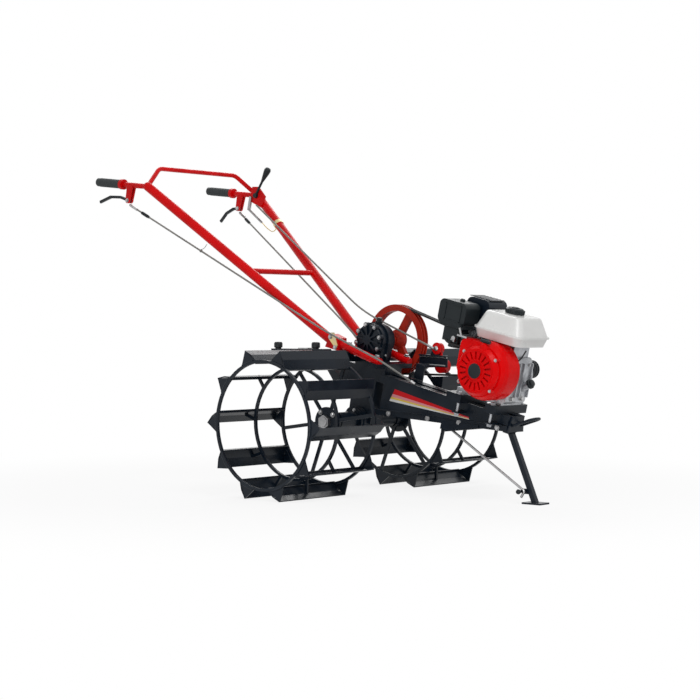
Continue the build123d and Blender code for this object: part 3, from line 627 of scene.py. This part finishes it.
PLATE_FACE = 46.0
STRIPE_FACE = PLATE_FACE + 0.5
STRIPES = (
    ("stripe_red", 0.0, 0.40, rgb(0.55, 0.006, 0.010)),
    ("stripe_pink", 0.40, 0.64, rgb(0.62, 0.24, 0.26)),
    ("stripe_yellow", 0.64, 0.80, rgb(0.66, 0.46, 0.08)),
    ("stripe_white", 0.80, 1.0, rgb(0.62, 0.62, 0.61)),
)
for name, begin, end, colour in STRIPES:
    finish(name, sprayed(colour, colour, rough=0.34, dusty=0.05, coat=0.0, gloss=0.2))
    outline = band(begin, end)
    bands = [plate(outline, side * PLATE_FACE, side * STRIPE_FACE) for side in (-1, 1)]
    fit(name, "chassis", name, bands, parked)
print(len(STRIPES), "stripes on each side")

# %% [markdown]
# The engine stands on cross-members that long bright studs clamp to cleats on the rails, so that it can
# slide to tighten the belts. The studs could be one solid with the rails. As bolts, pins and blocks they
# show how the machine is put together, and the four places come from two lengths and one width.

# %% Engine studs and cleats
RAIL_TOP = 197.0
MOUNT_TOP = 227.0
CLEAT_LOW, CLEAT_TOP = 160.0, 165.0
CLEAT_HALF = 13
STUD_Y = 80.0
CLEAT_OUT = STUD_Y + 14.0
STUDS_U = (478.0, 624.0)
STUD_R = 5.0
LOWER_NUT = (9.0, 11.0)
UPPER_NUT = (8.5, 8.0)
studs, cleats = [], []
for u in STUDS_U:
    for side in (-1, 1):
        y = side * STUD_Y
        studs.append(pin((u, y, CLEAT_TOP), (u, y, RAIL_TOP), STUD_R, 12))
        studs.append(bolt((u, y, CLEAT_LOW), DOWN, *LOWER_NUT))
        studs.append(bolt((u, y, MOUNT_TOP), UP, *UPPER_NUT))
        near, far = sorted((side * PLATE_FACE, side * CLEAT_OUT))
        cleats.append(block((u - CLEAT_HALF, near, CLEAT_LOW), (u + CLEAT_HALF, far, CLEAT_TOP)))
fit("engine_studs", "chassis", "cast_metal", studs, parked)
fit("engine_cleats", "chassis", "black_paint", cleats, parked)
print(len(cleats), "cleats with their studs")

# %% [markdown]
# A painted highlight runs along the rails' top edges. A mask in the paint could find edges, but it would
# brighten every edge of the frame. A thin strip of bare steel on part of each rail paints that highlight
# on the right ones alone.

# %% Painted highlights on the rails
HIGHLIGHT_FROM, HIGHLIGHT_TO = 250.0, 560.0
HIGHLIGHT_INNER = PLATE_FACE - 8.0
HIGHLIGHT_TOP = RAIL_TOP + 0.6
highlight_strips = []
for side in (-1, 1):
    near, far = sorted((side * HIGHLIGHT_INNER, side * PLATE_FACE))
    highlight_strips.append(block((HIGHLIGHT_FROM, near, RAIL_TOP), (HIGHLIGHT_TO, far, HIGHLIGHT_TOP)))
# Bare steel strips laid on the rails' top edges as a painted highlight.
fit("rail_painted_highlights", "chassis", "steel", highlight_strips, parked)
print("rubbed for", HIGHLIGHT_TO - HIGHLIGHT_FROM, "mm on each rail")

# %% [markdown]
# A rising bar under each side plate is bolted at four places and welded along its top. The bead could be
# modelled drop by drop. From where the camera stands it is one dark line, so a thin pin along the seam is
# enough.

# %% Lower bars
BAR_BOLTS = ((150.0, 66.6), (330.0, 96.5), (470.0, 119.7), (635.0, 147.1))
BAR_BOLT = (7.5, 7.0)
BAR_HALF = 10.5
SEAM_BACK, SEAM_AHEAD = 40.0, 20.0
SEAM_FACE = PLATE_FACE + 0.5
heads = []
for u, w in BAR_BOLTS:
    for side in (-1, 1):
        heads.append(bolt((u, side * PLATE_FACE, w), (0, side, 0), *BAR_BOLT))
fit("bar_bolts", "chassis", "steel", heads, parked)
(u0, w0), (u1, w1) = BAR_BOLTS[0], BAR_BOLTS[-1]
rise = (w1 - w0) / (u1 - u0)
low_end = (u0 - SEAM_BACK, w0 - SEAM_BACK * rise + BAR_HALF)
high_end = (u1 + SEAM_AHEAD, w1 + SEAM_AHEAD * rise + BAR_HALF)
seams = []
for side in (-1, 1):
    ends = [(u, side * SEAM_FACE, w) for u, w in (low_end, high_end)]
    seams.append(pin(ends[0], ends[1], BEAD_R, 10))
fit("bar_welds", "chassis", "black_paint", seams, parked)
print(len(heads), "bolts and", len(seams), "seams on the lower bars")

# %% [markdown]
# The recoil starter's round cover faces the camera. Its vents are real slots in the solid. Behind them
# lies a ring painted deep red as painted shade in the vents, where a black one would look like painted
# spokes. Rims, a plain badge, a rope guide with its pull grip and four screwed ears are turned shapes
# about the crank.


# %% Starter cover
def at_crank(u, y, w):
    """A place forward of and above the crank, in the level machine."""
    return (CRANK.x + u, y, CRANK.y + w)


FAN_FACE = -165.0
RECOIL_FACE = -188.0
VENT_FLOOR = -180.5
VENT_INNER, VENT_OUTER, FLOOR_THICK = 38, 68, 0.4
BADGE_FACE = RECOIL_FACE - 4
BADGE = [(26, 0), (26, 1.5), (24, 2.4)]
RIMS_R = (36, 68)
RIM_WIDE, RIM_HIGH = 3, 1.6
ROPE_GUIDE = [(17, 0), (17, 12), (13, 19), (6, 21)]
ROPE_GUIDE_U, ROPE_GUIDE_W = 9, 82
PULL_FROM, PULL_TO, PULL_R = (-10, -172, 104), (28, -172, 104), 6.0
EARS_AT = 86.0
EAR_TURNS = (38, 142, 218, 322)
EAR = [(8, 0), (8, 18), (7, 19)]
EAR_ROOT, EAR_FACE = FAN_FACE + 6, FAN_FACE - 13
# A ring painted darker red stands in for the shade seen through the vents.
vent_painted_shade, vent_painted_shade_dim = rgb(0.50, 0.003, 0.005), rgb(0.42, 0.003, 0.005)
finish("vent_painted_shade", sprayed(vent_painted_shade, vent_painted_shade_dim, rough=0.5, dusty=0.0, coat=0.0, gloss=0.1))
shade_ring = collar(at_crank(0, VENT_FLOOR, 0), RIGHT, VENT_INNER, VENT_OUTER, FLOOR_THICK)
fit("vent_painted_shade_ring", "chassis", "vent_painted_shade", [shade_ring], parked)
badge = spun(at_crank(0, BADGE_FACE, 0), RIGHT, BADGE, 40)
pull_grip = pin(at_crank(*PULL_FROM), at_crank(*PULL_TO), PULL_R)
fit("recoil_darks", "chassis", "black_plastic", [badge, pull_grip], parked)
rims = [collar(at_crank(0, RECOIL_FACE, 0), RIGHT, r, r + RIM_WIDE, RIM_HIGH) for r in RIMS_R]
ears = [around(EARS_AT, 1, turn)[0] for turn in EAR_TURNS]
rims += [spun(at_crank(u, EAR_ROOT, w), RIGHT, EAR, 16) for u, w in ears]
rope_guide = spun(at_crank(ROPE_GUIDE_U, FAN_FACE, ROPE_GUIDE_W), RIGHT, ROPE_GUIDE)
fit("recoil_rims", "chassis", "engine_red", rims + [rope_guide], parked)
print("starter trim with", len(ears), "ears")

# %% [markdown]
# Small screws hold the starter cover by its ears and, on the far side, the crankcase cover by its rim.
# Screws can be left out of a far view, but bright dots in a ring are what makes a casting look assembled.
# Both rings are one object, since nothing moves between them.

# %% Engine screws
EAR_SCREW = (4.5, 5.0)
SIDE_SCREW = (5.0, 5.0)
SIDE_SCREWS = 7
SIDE_SCREWS_R = 60.0
SIDE_SCREWS_TURN = 20.0
SIDE_COVER_U, SIDE_COVER_FACE, SIDE_COVER_W = 4, 50, -10
screws = [bolt(at_crank(u, EAR_FACE, w), RIGHT, *EAR_SCREW) for u, w in ears]
for u, w in around(SIDE_SCREWS_R, SIDE_SCREWS, SIDE_SCREWS_TURN):
    spot = at_crank(SIDE_COVER_U + u, SIDE_COVER_FACE, SIDE_COVER_W + w)
    screws.append(bolt(spot, LEFT, *SIDE_SCREW))
fit("engine_screws", "chassis", "steel", screws, parked)
print(len(screws), "engine screws")

# %% [markdown]
# The tank's cap has ribs to grip and a low crown, and an oil filler cap sits low at the engine's front.
# Ribs could come from a bump, but the outline of the cap would stay smooth. Twenty thin pins around it
# show from all sides.

# %% Fuel cap and oil cap
CAP_U, CAP_Y = -2.0, -22.0
CAP_R = 32.0
CAP_RIBS = 20
RIB_LOW, RIB_TOP, RIB_R = 201, 214, 2.2
CROWN_LOW = 219
CROWN = [(14, 0), (14, 2), (11, 3)]
OIL_CAP_AT = (86, 18, -30)
OIL_CAP = [(17, 0), (17, 8), (12, 10), (12, 16), (9, 17)]
ribs = []
for u, y in around(CAP_R, CAP_RIBS):
    foot, head = [at_crank(CAP_U + u, CAP_Y + y, w) for w in (RIB_LOW, RIB_TOP)]
    ribs.append(pin(foot, head, RIB_R, 8))
crown = spun(at_crank(CAP_U, CAP_Y, CROWN_LOW), UP, CROWN)
fit("fuel_cap_ribs", "chassis", "black_plastic", ribs + [crown], parked)
filler = Vector((30, 0, 22)).normalized()
oil_cap = spun(at_crank(*OIL_CAP_AT), filler, OIL_CAP, 20)
fit("oil_cap", "chassis", "black_plastic", [oil_cap], parked)
print(len(ribs), "ribs on the fuel cap, and an oil cap")

# %% [markdown]
# The spark plug leans back with the cylinder. A rubber boot covers its top, a lead runs from there to the
# coil, and a fuel hose drops from the tank to the carburettor. The plug and the boot are turned shapes on
# the plug's axis. Lead and hose are bevelled curves, which bend as loose rubber does.

# %% Spark plug, lead and fuel hose
PLUG_AXIS = Vector((-0.906, 0, 0.423))
CYLINDER_Y = -30
PLUG_OUT, BOOT_OUT, LEAD_OUT = 196, 18, 28
PLUG_SHIFT = Vector((-16, 0, -34))
PLUG = [(9, 0), (9, 10), (6, 12), (6, 24)]
BOOT = [(9, 0), (11, 4), (10, 30), (7, 34)]
LEAD_R, FUEL_R = 3.5, 4.0
LEAD_WAY = [(368, -66, 424), (420, -134, 402), (492, -120, 396)]
FUEL_WAY = [(520, -92, 446), (492, -104, 428), (452, -112, 418), (430, -100, 424)]
plug_root = Vector(at_crank(0, CYLINDER_Y, 0)) + PLUG_AXIS * PLUG_OUT + PLUG_SHIFT
fit("spark_plug", "chassis", "steel", [spun(plug_root, PLUG_AXIS, PLUG, 12)], parked)
boot_root = plug_root + PLUG_AXIS * BOOT_OUT
fit("spark_boot", "chassis", "black_plastic", [spun(boot_root, PLUG_AXIS, BOOT, 20)], parked)
hose("spark_lead", "belt_rubber", [boot_root + PLUG_AXIS * LEAD_OUT] + LEAD_WAY, LEAD_R)
hose("fuel_hose", "belt_rubber", FUEL_WAY, FUEL_R)
print("a spark plug, its boot and lead, and a fuel hose")

# %% [markdown]
# Beside the carburettor sit a fuel cock and a throttle lever on a flat bracket, with black tips for the
# fingers. They are too small to deserve joints, so they ride on the chassis: bent plates and pins, in
# steel, and the tips as a second object because a fitting has one finish.

# %% Fuel cock and throttle
THROTTLE_BRACKET = [(470, 434), (512, 434), (512, 440), (470, 440)]
THROTTLE_ARM = [(484, 440), (492, 440), (476, 470), (470, 468)]
cock = [pin((448, -128, 420), (448, -140, 420), 8.0), block((440, -142, 408), (456, -137, 416))]
throttle = [plate(THROTTLE_BRACKET, -150, -96), plate(THROTTLE_ARM, -152, -149)]
fit("engine_levers", "chassis", "steel", cock + throttle, parked)
tips = [pin((473, -156, 469), (473, -144, 469), 6.5), pin((442, -138, 408), (442, -150, 408), 4.5)]
fit("lever_tips", "chassis", "black_plastic", tips, parked)
print("a fuel cock and a throttle with", len(tips), "tips")

# %% [markdown]
# The crankcase's front shows two drain plugs, four cover bolts and cast webs; a stop wire runs down from
# the tank. Webs are usually part of the casting. Here they are thin blocks in the same cast finish, which
# is quicker than filleted ribs and looks the same at this size.

# %% Crankcase front
AHEAD = (1, 0, 0)
FRONT_FACE = 666.0
DRAINS_Y, DRAINS_W = (-40, 16), 258
DRAIN_PLUG = (8.0, 9.0)
FRONT_BOLTS_Y, FRONT_BOLTS_W = (-58, 28), (300, 376)
FRONT_BOLT = (5.0, 5.0)
WEBS_Y = (-30, -6, 42)
WEB_LOW, WEB_TOP, WEB_HALF = 262, 382, 2
WEB_FACE = FRONT_FACE + 7
STOP_R = 2.6
STOP_WAY = [(700, -56, 436), (694, -66, 410), (676, -62, 386), (672, -50, 330), (667, -44, 300)]
plugs = [bolt((FRONT_FACE, y, DRAINS_W), AHEAD, *DRAIN_PLUG) for y in DRAINS_Y]
for y in FRONT_BOLTS_Y:
    plugs += [bolt((FRONT_FACE, y, w), AHEAD, *FRONT_BOLT) for w in FRONT_BOLTS_W]
plugs.append(pin((640, 62, 246), (640, 62, 236), 7.0))
fit("crankcase_plugs", "chassis", "steel", plugs, parked)
webs = []
for y in WEBS_Y:
    webs.append(block((FRONT_FACE, y - WEB_HALF, WEB_LOW), (WEB_FACE, y + WEB_HALF, WEB_TOP)))
fit("crankcase_webs", "chassis", "cast_metal", webs, parked)
hose("stop_wire", "belt_rubber", STOP_WAY, STOP_R)
print(len(plugs), "plugs and bolts,", len(webs), "webs and a stop wire")

# %% [markdown]
# The muffler wears a slotted guard and ends in a short outlet, and the air cleaner's cover has a raised
# border and a wing nut. The guard's slots could be cut by a boolean. Seven bars with gaps between them
# give the same look with clean faces.

# %% Muffler guard and air cleaner
GUARD_BARS = 7
GUARD_BACK = 404
GUARD_PITCH = 14
GUARD_WIDE = 7
GUARD_RIGHT, GUARD_LEFT = -30, 50
GUARD_LOW, GUARD_TOP = 563, 565.5
OUTLET_FROM, OUTLET_TO, OUTLET_R = (402, 10, 528), (388, 10, 528), 11.0
WING_NUT = [(9, 0), (9, 6), (6, 9)]
WING_NUT_AT = (428, -98, 546)
CLEANER_FACE = -140.0
BORDER_FACE = CLEANER_FACE - 2
BORDER_WIDE = 3
CLEANER_LOW, CLEANER_HIGH = (392.0, 476.0), (462.0, 536.0)
guard = []
for step in range(GUARD_BARS):
    back = GUARD_BACK + step * GUARD_PITCH
    ahead = back + GUARD_WIDE
    guard.append(block((back, GUARD_RIGHT, GUARD_LOW), (ahead, GUARD_LEFT, GUARD_TOP)))
guard.append(pin(OUTLET_FROM, OUTLET_TO, OUTLET_R))
fit("muffler_guard", "chassis", "black_paint", guard, parked)
(u0, w0), (u1, w1) = CLEANER_LOW, CLEANER_HIGH
edges = [
    (u0, w0, u1, w0 + BORDER_WIDE),
    (u0, w1 - BORDER_WIDE, u1, w1),
    (u0, w0, u0 + BORDER_WIDE, w1),
    (u1 - BORDER_WIDE, w0, u1, w1),
]
border = [block((a, BORDER_FACE, b), (c, CLEANER_FACE, d)) for a, b, c, d in edges]
border.append(spun(WING_NUT_AT, UP, WING_NUT, 12))
fit("cleaner_border", "chassis", "black_plastic", border, parked)
print(GUARD_BARS, "guard bars and a border of", len(edges), "edges")

# %% [markdown]
# Each handle ends in a ribbed rubber grip with a red collar at its inner end. Below hang a hand lever on
# a pin, the joint to the foot tube under a zinc plate, and the saddle's bolts. The two handles mirror
# each other, so one loop with a side of -1 or 1 makes both. A Mirror modifier would leave both sides in
# one object.

# %% Grips, levers and joints
GRIP_Y = 305.0
GRIP_START = Vector((-1319.0, 0, 639.0))
GRIP_BEND = Vector((-1033.0, 0, 673.0))
GRIP_LONG = 132.0
GRIP_RIBS = 12
GRIP_RIB = [(16.4, 0), (17.6, 2), (17.6, 5), (16.4, 7)]
FIRST_RIB, RIB_PITCH = 6, 10
COLLAR_AT = GRIP_LONG - 1
COLLAR_INNER, COLLAR_OUTER, COLLAR_LONG = 11, 20.6, 16
LEVER_PIN = (-1128.0, 600.0)
LEVER_FACE = 11.3
JOINT_FACE = 106.0
JOINT_OUT = JOINT_FACE + 3
JOINT_BOLTS = ((-136.0, 284.0), (-104.0, 252.0))
JOINT_PLATE = ((-142.0, 276.0), (-98.0, 246.0), (-94.0, 262.0), (-122.0, 304.0), (-138.0, 300.0))
SMALL_BOLT = (6.5, 6.0)
SADDLE_Y = 84.0
SADDLE_BOLTS = ((82.0, 261.5), (-58.0, 275.5))
SADDLE_BOLT = (8.0, 8.0)
FERRULE_R = 5.5
along = (GRIP_BEND - GRIP_START).normalized()
for side, name in ((-1, "right"), (1, "left")):
    grip_end = GRIP_START + Vector((0, side * GRIP_Y, 0))
    places = [grip_end + along * (FIRST_RIB + RIB_PITCH * rib) for rib in range(GRIP_RIBS)]
    rings = [spun(at, along, GRIP_RIB, 28) for at in places]
    fit("grip_rings_" + name, "chassis", "grip_rubber", rings, parked)
    sleeve = collar(grip_end + along * COLLAR_AT, along, COLLAR_INNER, COLLAR_OUTER, COLLAR_LONG)
    fit("grip_collar_" + name, "chassis", "red_paint", [sleeve], parked)
    cover = plate(JOINT_PLATE, side * JOINT_FACE, side * JOINT_OUT)
    fit("joint_plate_" + name, "chassis", "zinc", [cover], parked)
    heads = []
    for face in (-1, 1):
        spot = (LEVER_PIN[0], side * GRIP_Y + face * LEVER_FACE, LEVER_PIN[1])
        heads.append(bolt(spot, (0, face, 0), *SMALL_BOLT))
    heads += [bolt((u, side * JOINT_OUT, w), (0, side, 0), *SMALL_BOLT) for u, w in JOINT_BOLTS]
    heads += [bolt((u, side * SADDLE_Y, w), UP, *SADDLE_BOLT) for u, w in SADDLE_BOLTS]
    fit("handle_bolts_" + name, "chassis", "steel", heads, parked)
    ferrule = pin((-1118, side * 304.3, 582.8), (-1082, side * 297.7, 572.4), FERRULE_R)
    fit("ferrule_" + name, "chassis", "steel", [ferrule], parked)
    print(name, "handle has", len(rings), "ribs and", len(heads), "bolts")

# %% [markdown]
# A control cable runs from each hand lever down to the machine. Near the lever a black sleeve keeps it
# from kinking, and a zinc clip goes around the left handle tube. The cables are CAD nodes, so the sleeves
# are placed by a share of the straight line between a cable's ends, which keeps them on the cable.

# %% Cable sleeves and clip
CABLES = (((-1122, -305, 584), (-156, -128, 304)), ((-1122, 305, 584), (-250, 58, 328)))
SLEEVE_SHARES = (0.065, 0.11)
SLEEVE = [(4, 0), (6.5, 3), (6.5, 34), (4.5, 44)]
CLIP_AT = Vector((-842, 258.3, 586))
CLIP_LONG = 18
CLIP_INNER, CLIP_OUTER = 18.2, 20.6
sleeves = []
for start, end in CABLES:
    first, last = [Vector(start).lerp(Vector(end), share) for share in SLEEVE_SHARES]
    sleeves.append(spun(first, last - first, SLEEVE, 16))
fit("cable_sleeves", "chassis", "black_plastic", sleeves, parked)
tube = Vector((-898, 220, 409)).normalized()
clip = collar(CLIP_AT - tube * CLIP_LONG / 2, tube, CLIP_INNER, CLIP_OUTER, CLIP_LONG)
fit("handle_clip", "chassis", "zinc", [clip], parked)
print(len(sleeves), "sleeves and a clip")

# %% [markdown]
# The clutch lever on the left has a return spring, hung from a bracket and held to the zinc clip by a
# bent wire. A spring is a helix, which a Screw modifier could make. This one is a few pixels thick, so a
# pin with a row of close collars reads as coils and stays a closed mesh.

# %% Clutch spring
SPRING_Y = 258.0
BRACKET_FACE = SPRING_Y + 8
BRACKET = [(-1035, 668), (-1024, 666), (-1020, 612), (-1034, 609)]
SPRING_TOP, SPRING_END = Vector((-1030, SPRING_Y, 616)), Vector((-936, SPRING_Y, 574.5))
FIRST_COIL, LAST_COIL = Vector((-1024, SPRING_Y, 613.4)), Vector((-942, SPRING_Y, 577.1))
COILS = 17
COIL_INNER, COIL_OUTER, COIL_HIGH = 3, 5, 2.6
SPRING_R, WIRE_R = 3.2, 2.0
WIRE_WAY = [(-940, SPRING_Y, 576), (-886, SPRING_Y, 553), (-866, SPRING_Y, 552), (-848, SPRING_Y, 569)]
fit("clutch_bracket", "chassis", "steel", [plate(BRACKET, SPRING_Y, BRACKET_FACE)], parked)
spring = [pin(SPRING_TOP, SPRING_END, SPRING_R)]
for coil in range(COILS):
    spot = FIRST_COIL.lerp(LAST_COIL, coil / (COILS - 1))
    spring.append(collar(spot, SPRING_END - SPRING_TOP, COIL_INNER, COIL_OUTER, COIL_HIGH))
fit("clutch_spring", "chassis", "steel", spring, parked)
hose("clutch_wire", "zinc", WIRE_WAY, WIRE_R)
print(COILS, "coils on the clutch spring")

# %% [markdown]
# A tie with a loose end sits on the right cable, two bolts hold the clutch lever's plate, and a steel end
# caps each cable where it meets the machine. The tie is found by a share of the cable's length. The ends
# are short pins along the cables' last stretch, thicker than the cable, as crimped sleeves are.

# %% Cable tie, plate bolts and cable ends
TIE_SHARE = 0.38
TIE_INNER, TIE_OUTER, TIE_LONG = 3.4, 5.6, 6
TIE_END_R = 1.2
TIE_END = [(2, 0, 4), (17, 0, 12), (30, 0, 31)]
PLATE_BOLTS = ((-1002, 676), (-1026, 690))
PLATE_BOLTS_Y = 272
PLATE_BOLT = (6.0, 6.0)
END_R = 5.2
CABLE_ENDS = (
    ((226, -47, 207.9), (240, -39, 199.9)),
    ((-90, 49, 251.6), (-58, 48, 236.6)),
    ((160, 94.4, 323.2), (192, 94, 318.6)),
)
upper, lower = [Vector(end) for end in CABLES[0]]
tie = upper.lerp(lower, TIE_SHARE)
loop = collar(tie, lower - upper, TIE_INNER, TIE_OUTER, TIE_LONG)
fit("cable_tie", "chassis", "cable_sheath", [loop], parked)
hose("cable_tie_end", "cable_sheath", [tie + Vector(step) for step in TIE_END], TIE_END_R)
heads = [bolt((u, PLATE_BOLTS_Y, w), LEFT, *PLATE_BOLT) for u, w in PLATE_BOLTS]
fit("quadrant_bolts", "chassis", "steel", heads, parked)
ends = [pin(start, end, END_R) for start, end in CABLE_ENDS]
fit("cable_ends", "chassis", "steel", ends, parked)
print("a tie,", len(heads), "plate bolts and", len(ends), "cable ends")

# %% [markdown]
# At the back a level hitch bar takes the plough. Two clamp screws end in wide knobs, with a light plate
# between them. Star knobs could be cut from a cylinder. Twelve flat sides in the spun profile already
# give a hand's grip.

# %% Hitch fittings
HITCH_TOP = 261.0
PLATE_TOP = HITCH_TOP + 4
PLATE_HALF = 17
SCREWS_X = (-438.0, -240.0)
KNOB = [(12, 3), (17, 5), (17, 20), (14, 25), (5, 26)]
knobs = [spun((x, 0, HITCH_TOP), UP, KNOB, 12) for x in SCREWS_X]
fit("hitch_knobs", "chassis", "black_plastic", knobs, upright)
hitch_plate = block((-318, -PLATE_HALF, HITCH_TOP), (-266, PLATE_HALF, PLATE_TOP))
fit("hitch_plate", "chassis", "steel", [hitch_plate], upright)
print(len(knobs), "knobs and a plate on the hitch")

# %% [markdown]
# At the front the stand swings between two washers. A stay hooks over a pin on the leg, and a round knob
# ends that pin. All of it could ride on the chassis, but then the knob would hang in the air when the
# stand folds. So the knob rides on the stand, and only the washers stay on the chassis.

# %% Stand fittings
STAND_U, STAND_W = 655.0, 150.0
WASHER_FACE = 20
WASHER = [(11, 0), (11, 2.5)]
PIN_KNOB = Vector((737.0, -31.0, -219.5))
PULL = [(5, 0), (8, 4), (9, 8), (7, 13), (3, 15)]
washers = [spun((STAND_U, side * WASHER_FACE, STAND_W), (0, side, 0), WASHER) for side in (-1, 1)]
fit("stand_washers", "chassis", "steel", washers, parked)
fit("stand_pin_knob", "stand", "black_plastic", [spun(PIN_KNOB, RIGHT, PULL, 20)], upright)
print(len(washers), "washers and a knob at the stand")

# %% [markdown]
# The picture has a plain white background, which more light would give, but that would wash out the
# machine too. A shader can ask what a ray is for. Rays that carry what is seen, to the camera, in a
# mirror or through glass, can find white where rays that carry light find something softer.


# %% Rays that show
def shows(start):
    """One for rays that carry what is seen, nought for rays that carry light."""
    kinds = ("Is Camera Ray", "Is Glossy Ray", "Is Transmission Ray")
    seen, mirrored, through = [start.node("LightPath", out=kind) for kind in kinds]
    return seen + mirrored + through


print("rays to the camera, in mirrors and through glass show the background")

# %% [markdown]
# The machine stands on a pale studio floor. A backdrop sheet curved up behind it would do in one view
# only, and the machine is looked at from all sides. So the floor is one large square whose paint is mixed
# with plain white, nearly all white under the machine and wholly white away from it. A soft shadow is
# left below.


# %% Floor
def floor_paint(start):
    return {"Base Color": rgb(0.86, 0.86, 0.86), "Roughness": 0.9, "Specular IOR Level": 0.0}


WHITE = rgb(1, 1, 1)
FLOOR_HALF = 14.0
FLOOR_DROP = 0.0005
FADE_FROM, FADE_TO = 0.9, 2.2
WHITE_NEAR, WHITE_FAR = 0.84, 1.0
floor_mesh = bpy.data.meshes.new("floor")
corners = [(x * FLOOR_HALF, y * FLOOR_HALF, 0) for x, y in ((-1, -1), (1, -1), (1, 1), (-1, 1))]
floor_mesh.from_pydata(corners, [], [(0, 1, 2, 3)])
floor = bpy.data.objects.new("floor", floor_mesh)
bpy.context.scene.collection.objects.link(floor)
floor.location.z = -FLOOR_DROP
floor_finish = finish("floor", floor_paint)
floor_mesh.materials.append(floor_finish)
tree = floor_finish.node_tree
start = Wire(tree)
distance = start.node("VectorMath", {"operation": "LENGTH"}, {0: place(start)}, out=1)
share = shows(start) * distance.ramp(FADE_FROM, FADE_TO, WHITE_NEAR, WHITE_FAR)
white = start.node("Emission", None, {"Color": WHITE, "Strength": 1.0})
lit = Wire(tree, tree.nodes["Principled BSDF"].outputs[0])
mixed = start.node("MixShader", None, {0: share, 1: lit, 2: white})
tree.links.new(mixed.socket, tree.nodes["Material Output"].inputs["Surface"])
print("floor of", 2 * FLOOR_HALF, "m, white from", FADE_TO, "m on")

# %% [markdown]
# Around the floor the world is plain white to the eye, and its light fills the shadows. A world of full
# strength would flatten every shape. So rays that carry light get a good third of it, and rays that show
# it get it all.

# %% World
GIVEN = 0.38
world = bpy.data.worlds.new("studio")
bpy.context.scene.world = world
world.use_nodes = True
backdrop = world.node_tree.nodes["Background"]
lights = 1.0 - shows(Wire(world.node_tree))
strength = 1.0 - lights * (1.0 - GIVEN)
world.node_tree.links.new(strength.socket, backdrop.inputs["Strength"])
backdrop.inputs["Color"].default_value = WHITE
print("the world gives", GIVEN, "of its light")

# %% [markdown]
# Three large lamps model the shapes: a key from the front right above, a low fill from the right, and a
# rim lamp from behind that draws the tubes' edges. Small lamps would throw hard shadows that the picture
# doesn't have. Each is an area lamp aimed at the machine's middle.

# %% Lamps
AIM = Vector((0, 0, 0.5))
LAMPS = (
    ("key_lamp", (3.2, -1.6, 4.2), 100.0, 2.0),
    ("fill_lamp", (1.6, -4.6, 0.5), 56.0, 2.4),
    ("rim_lamp", (-2.6, 2.4, 3.6), 105.0, 3.6),
)
for name, at, power, size in LAMPS:
    lamp_data = bpy.data.lights.new(name, "AREA")
    lamp_data.energy = power
    lamp_data.size = size
    lamp = bpy.data.objects.new(name, lamp_data)
    lamp.location = at
    lamp.rotation_euler = (AIM - Vector(at)).to_track_quat("-Z", "Y").to_euler()
    bpy.context.scene.collection.objects.link(lamp)
    print(name, "of", power, "W and", size, "m")
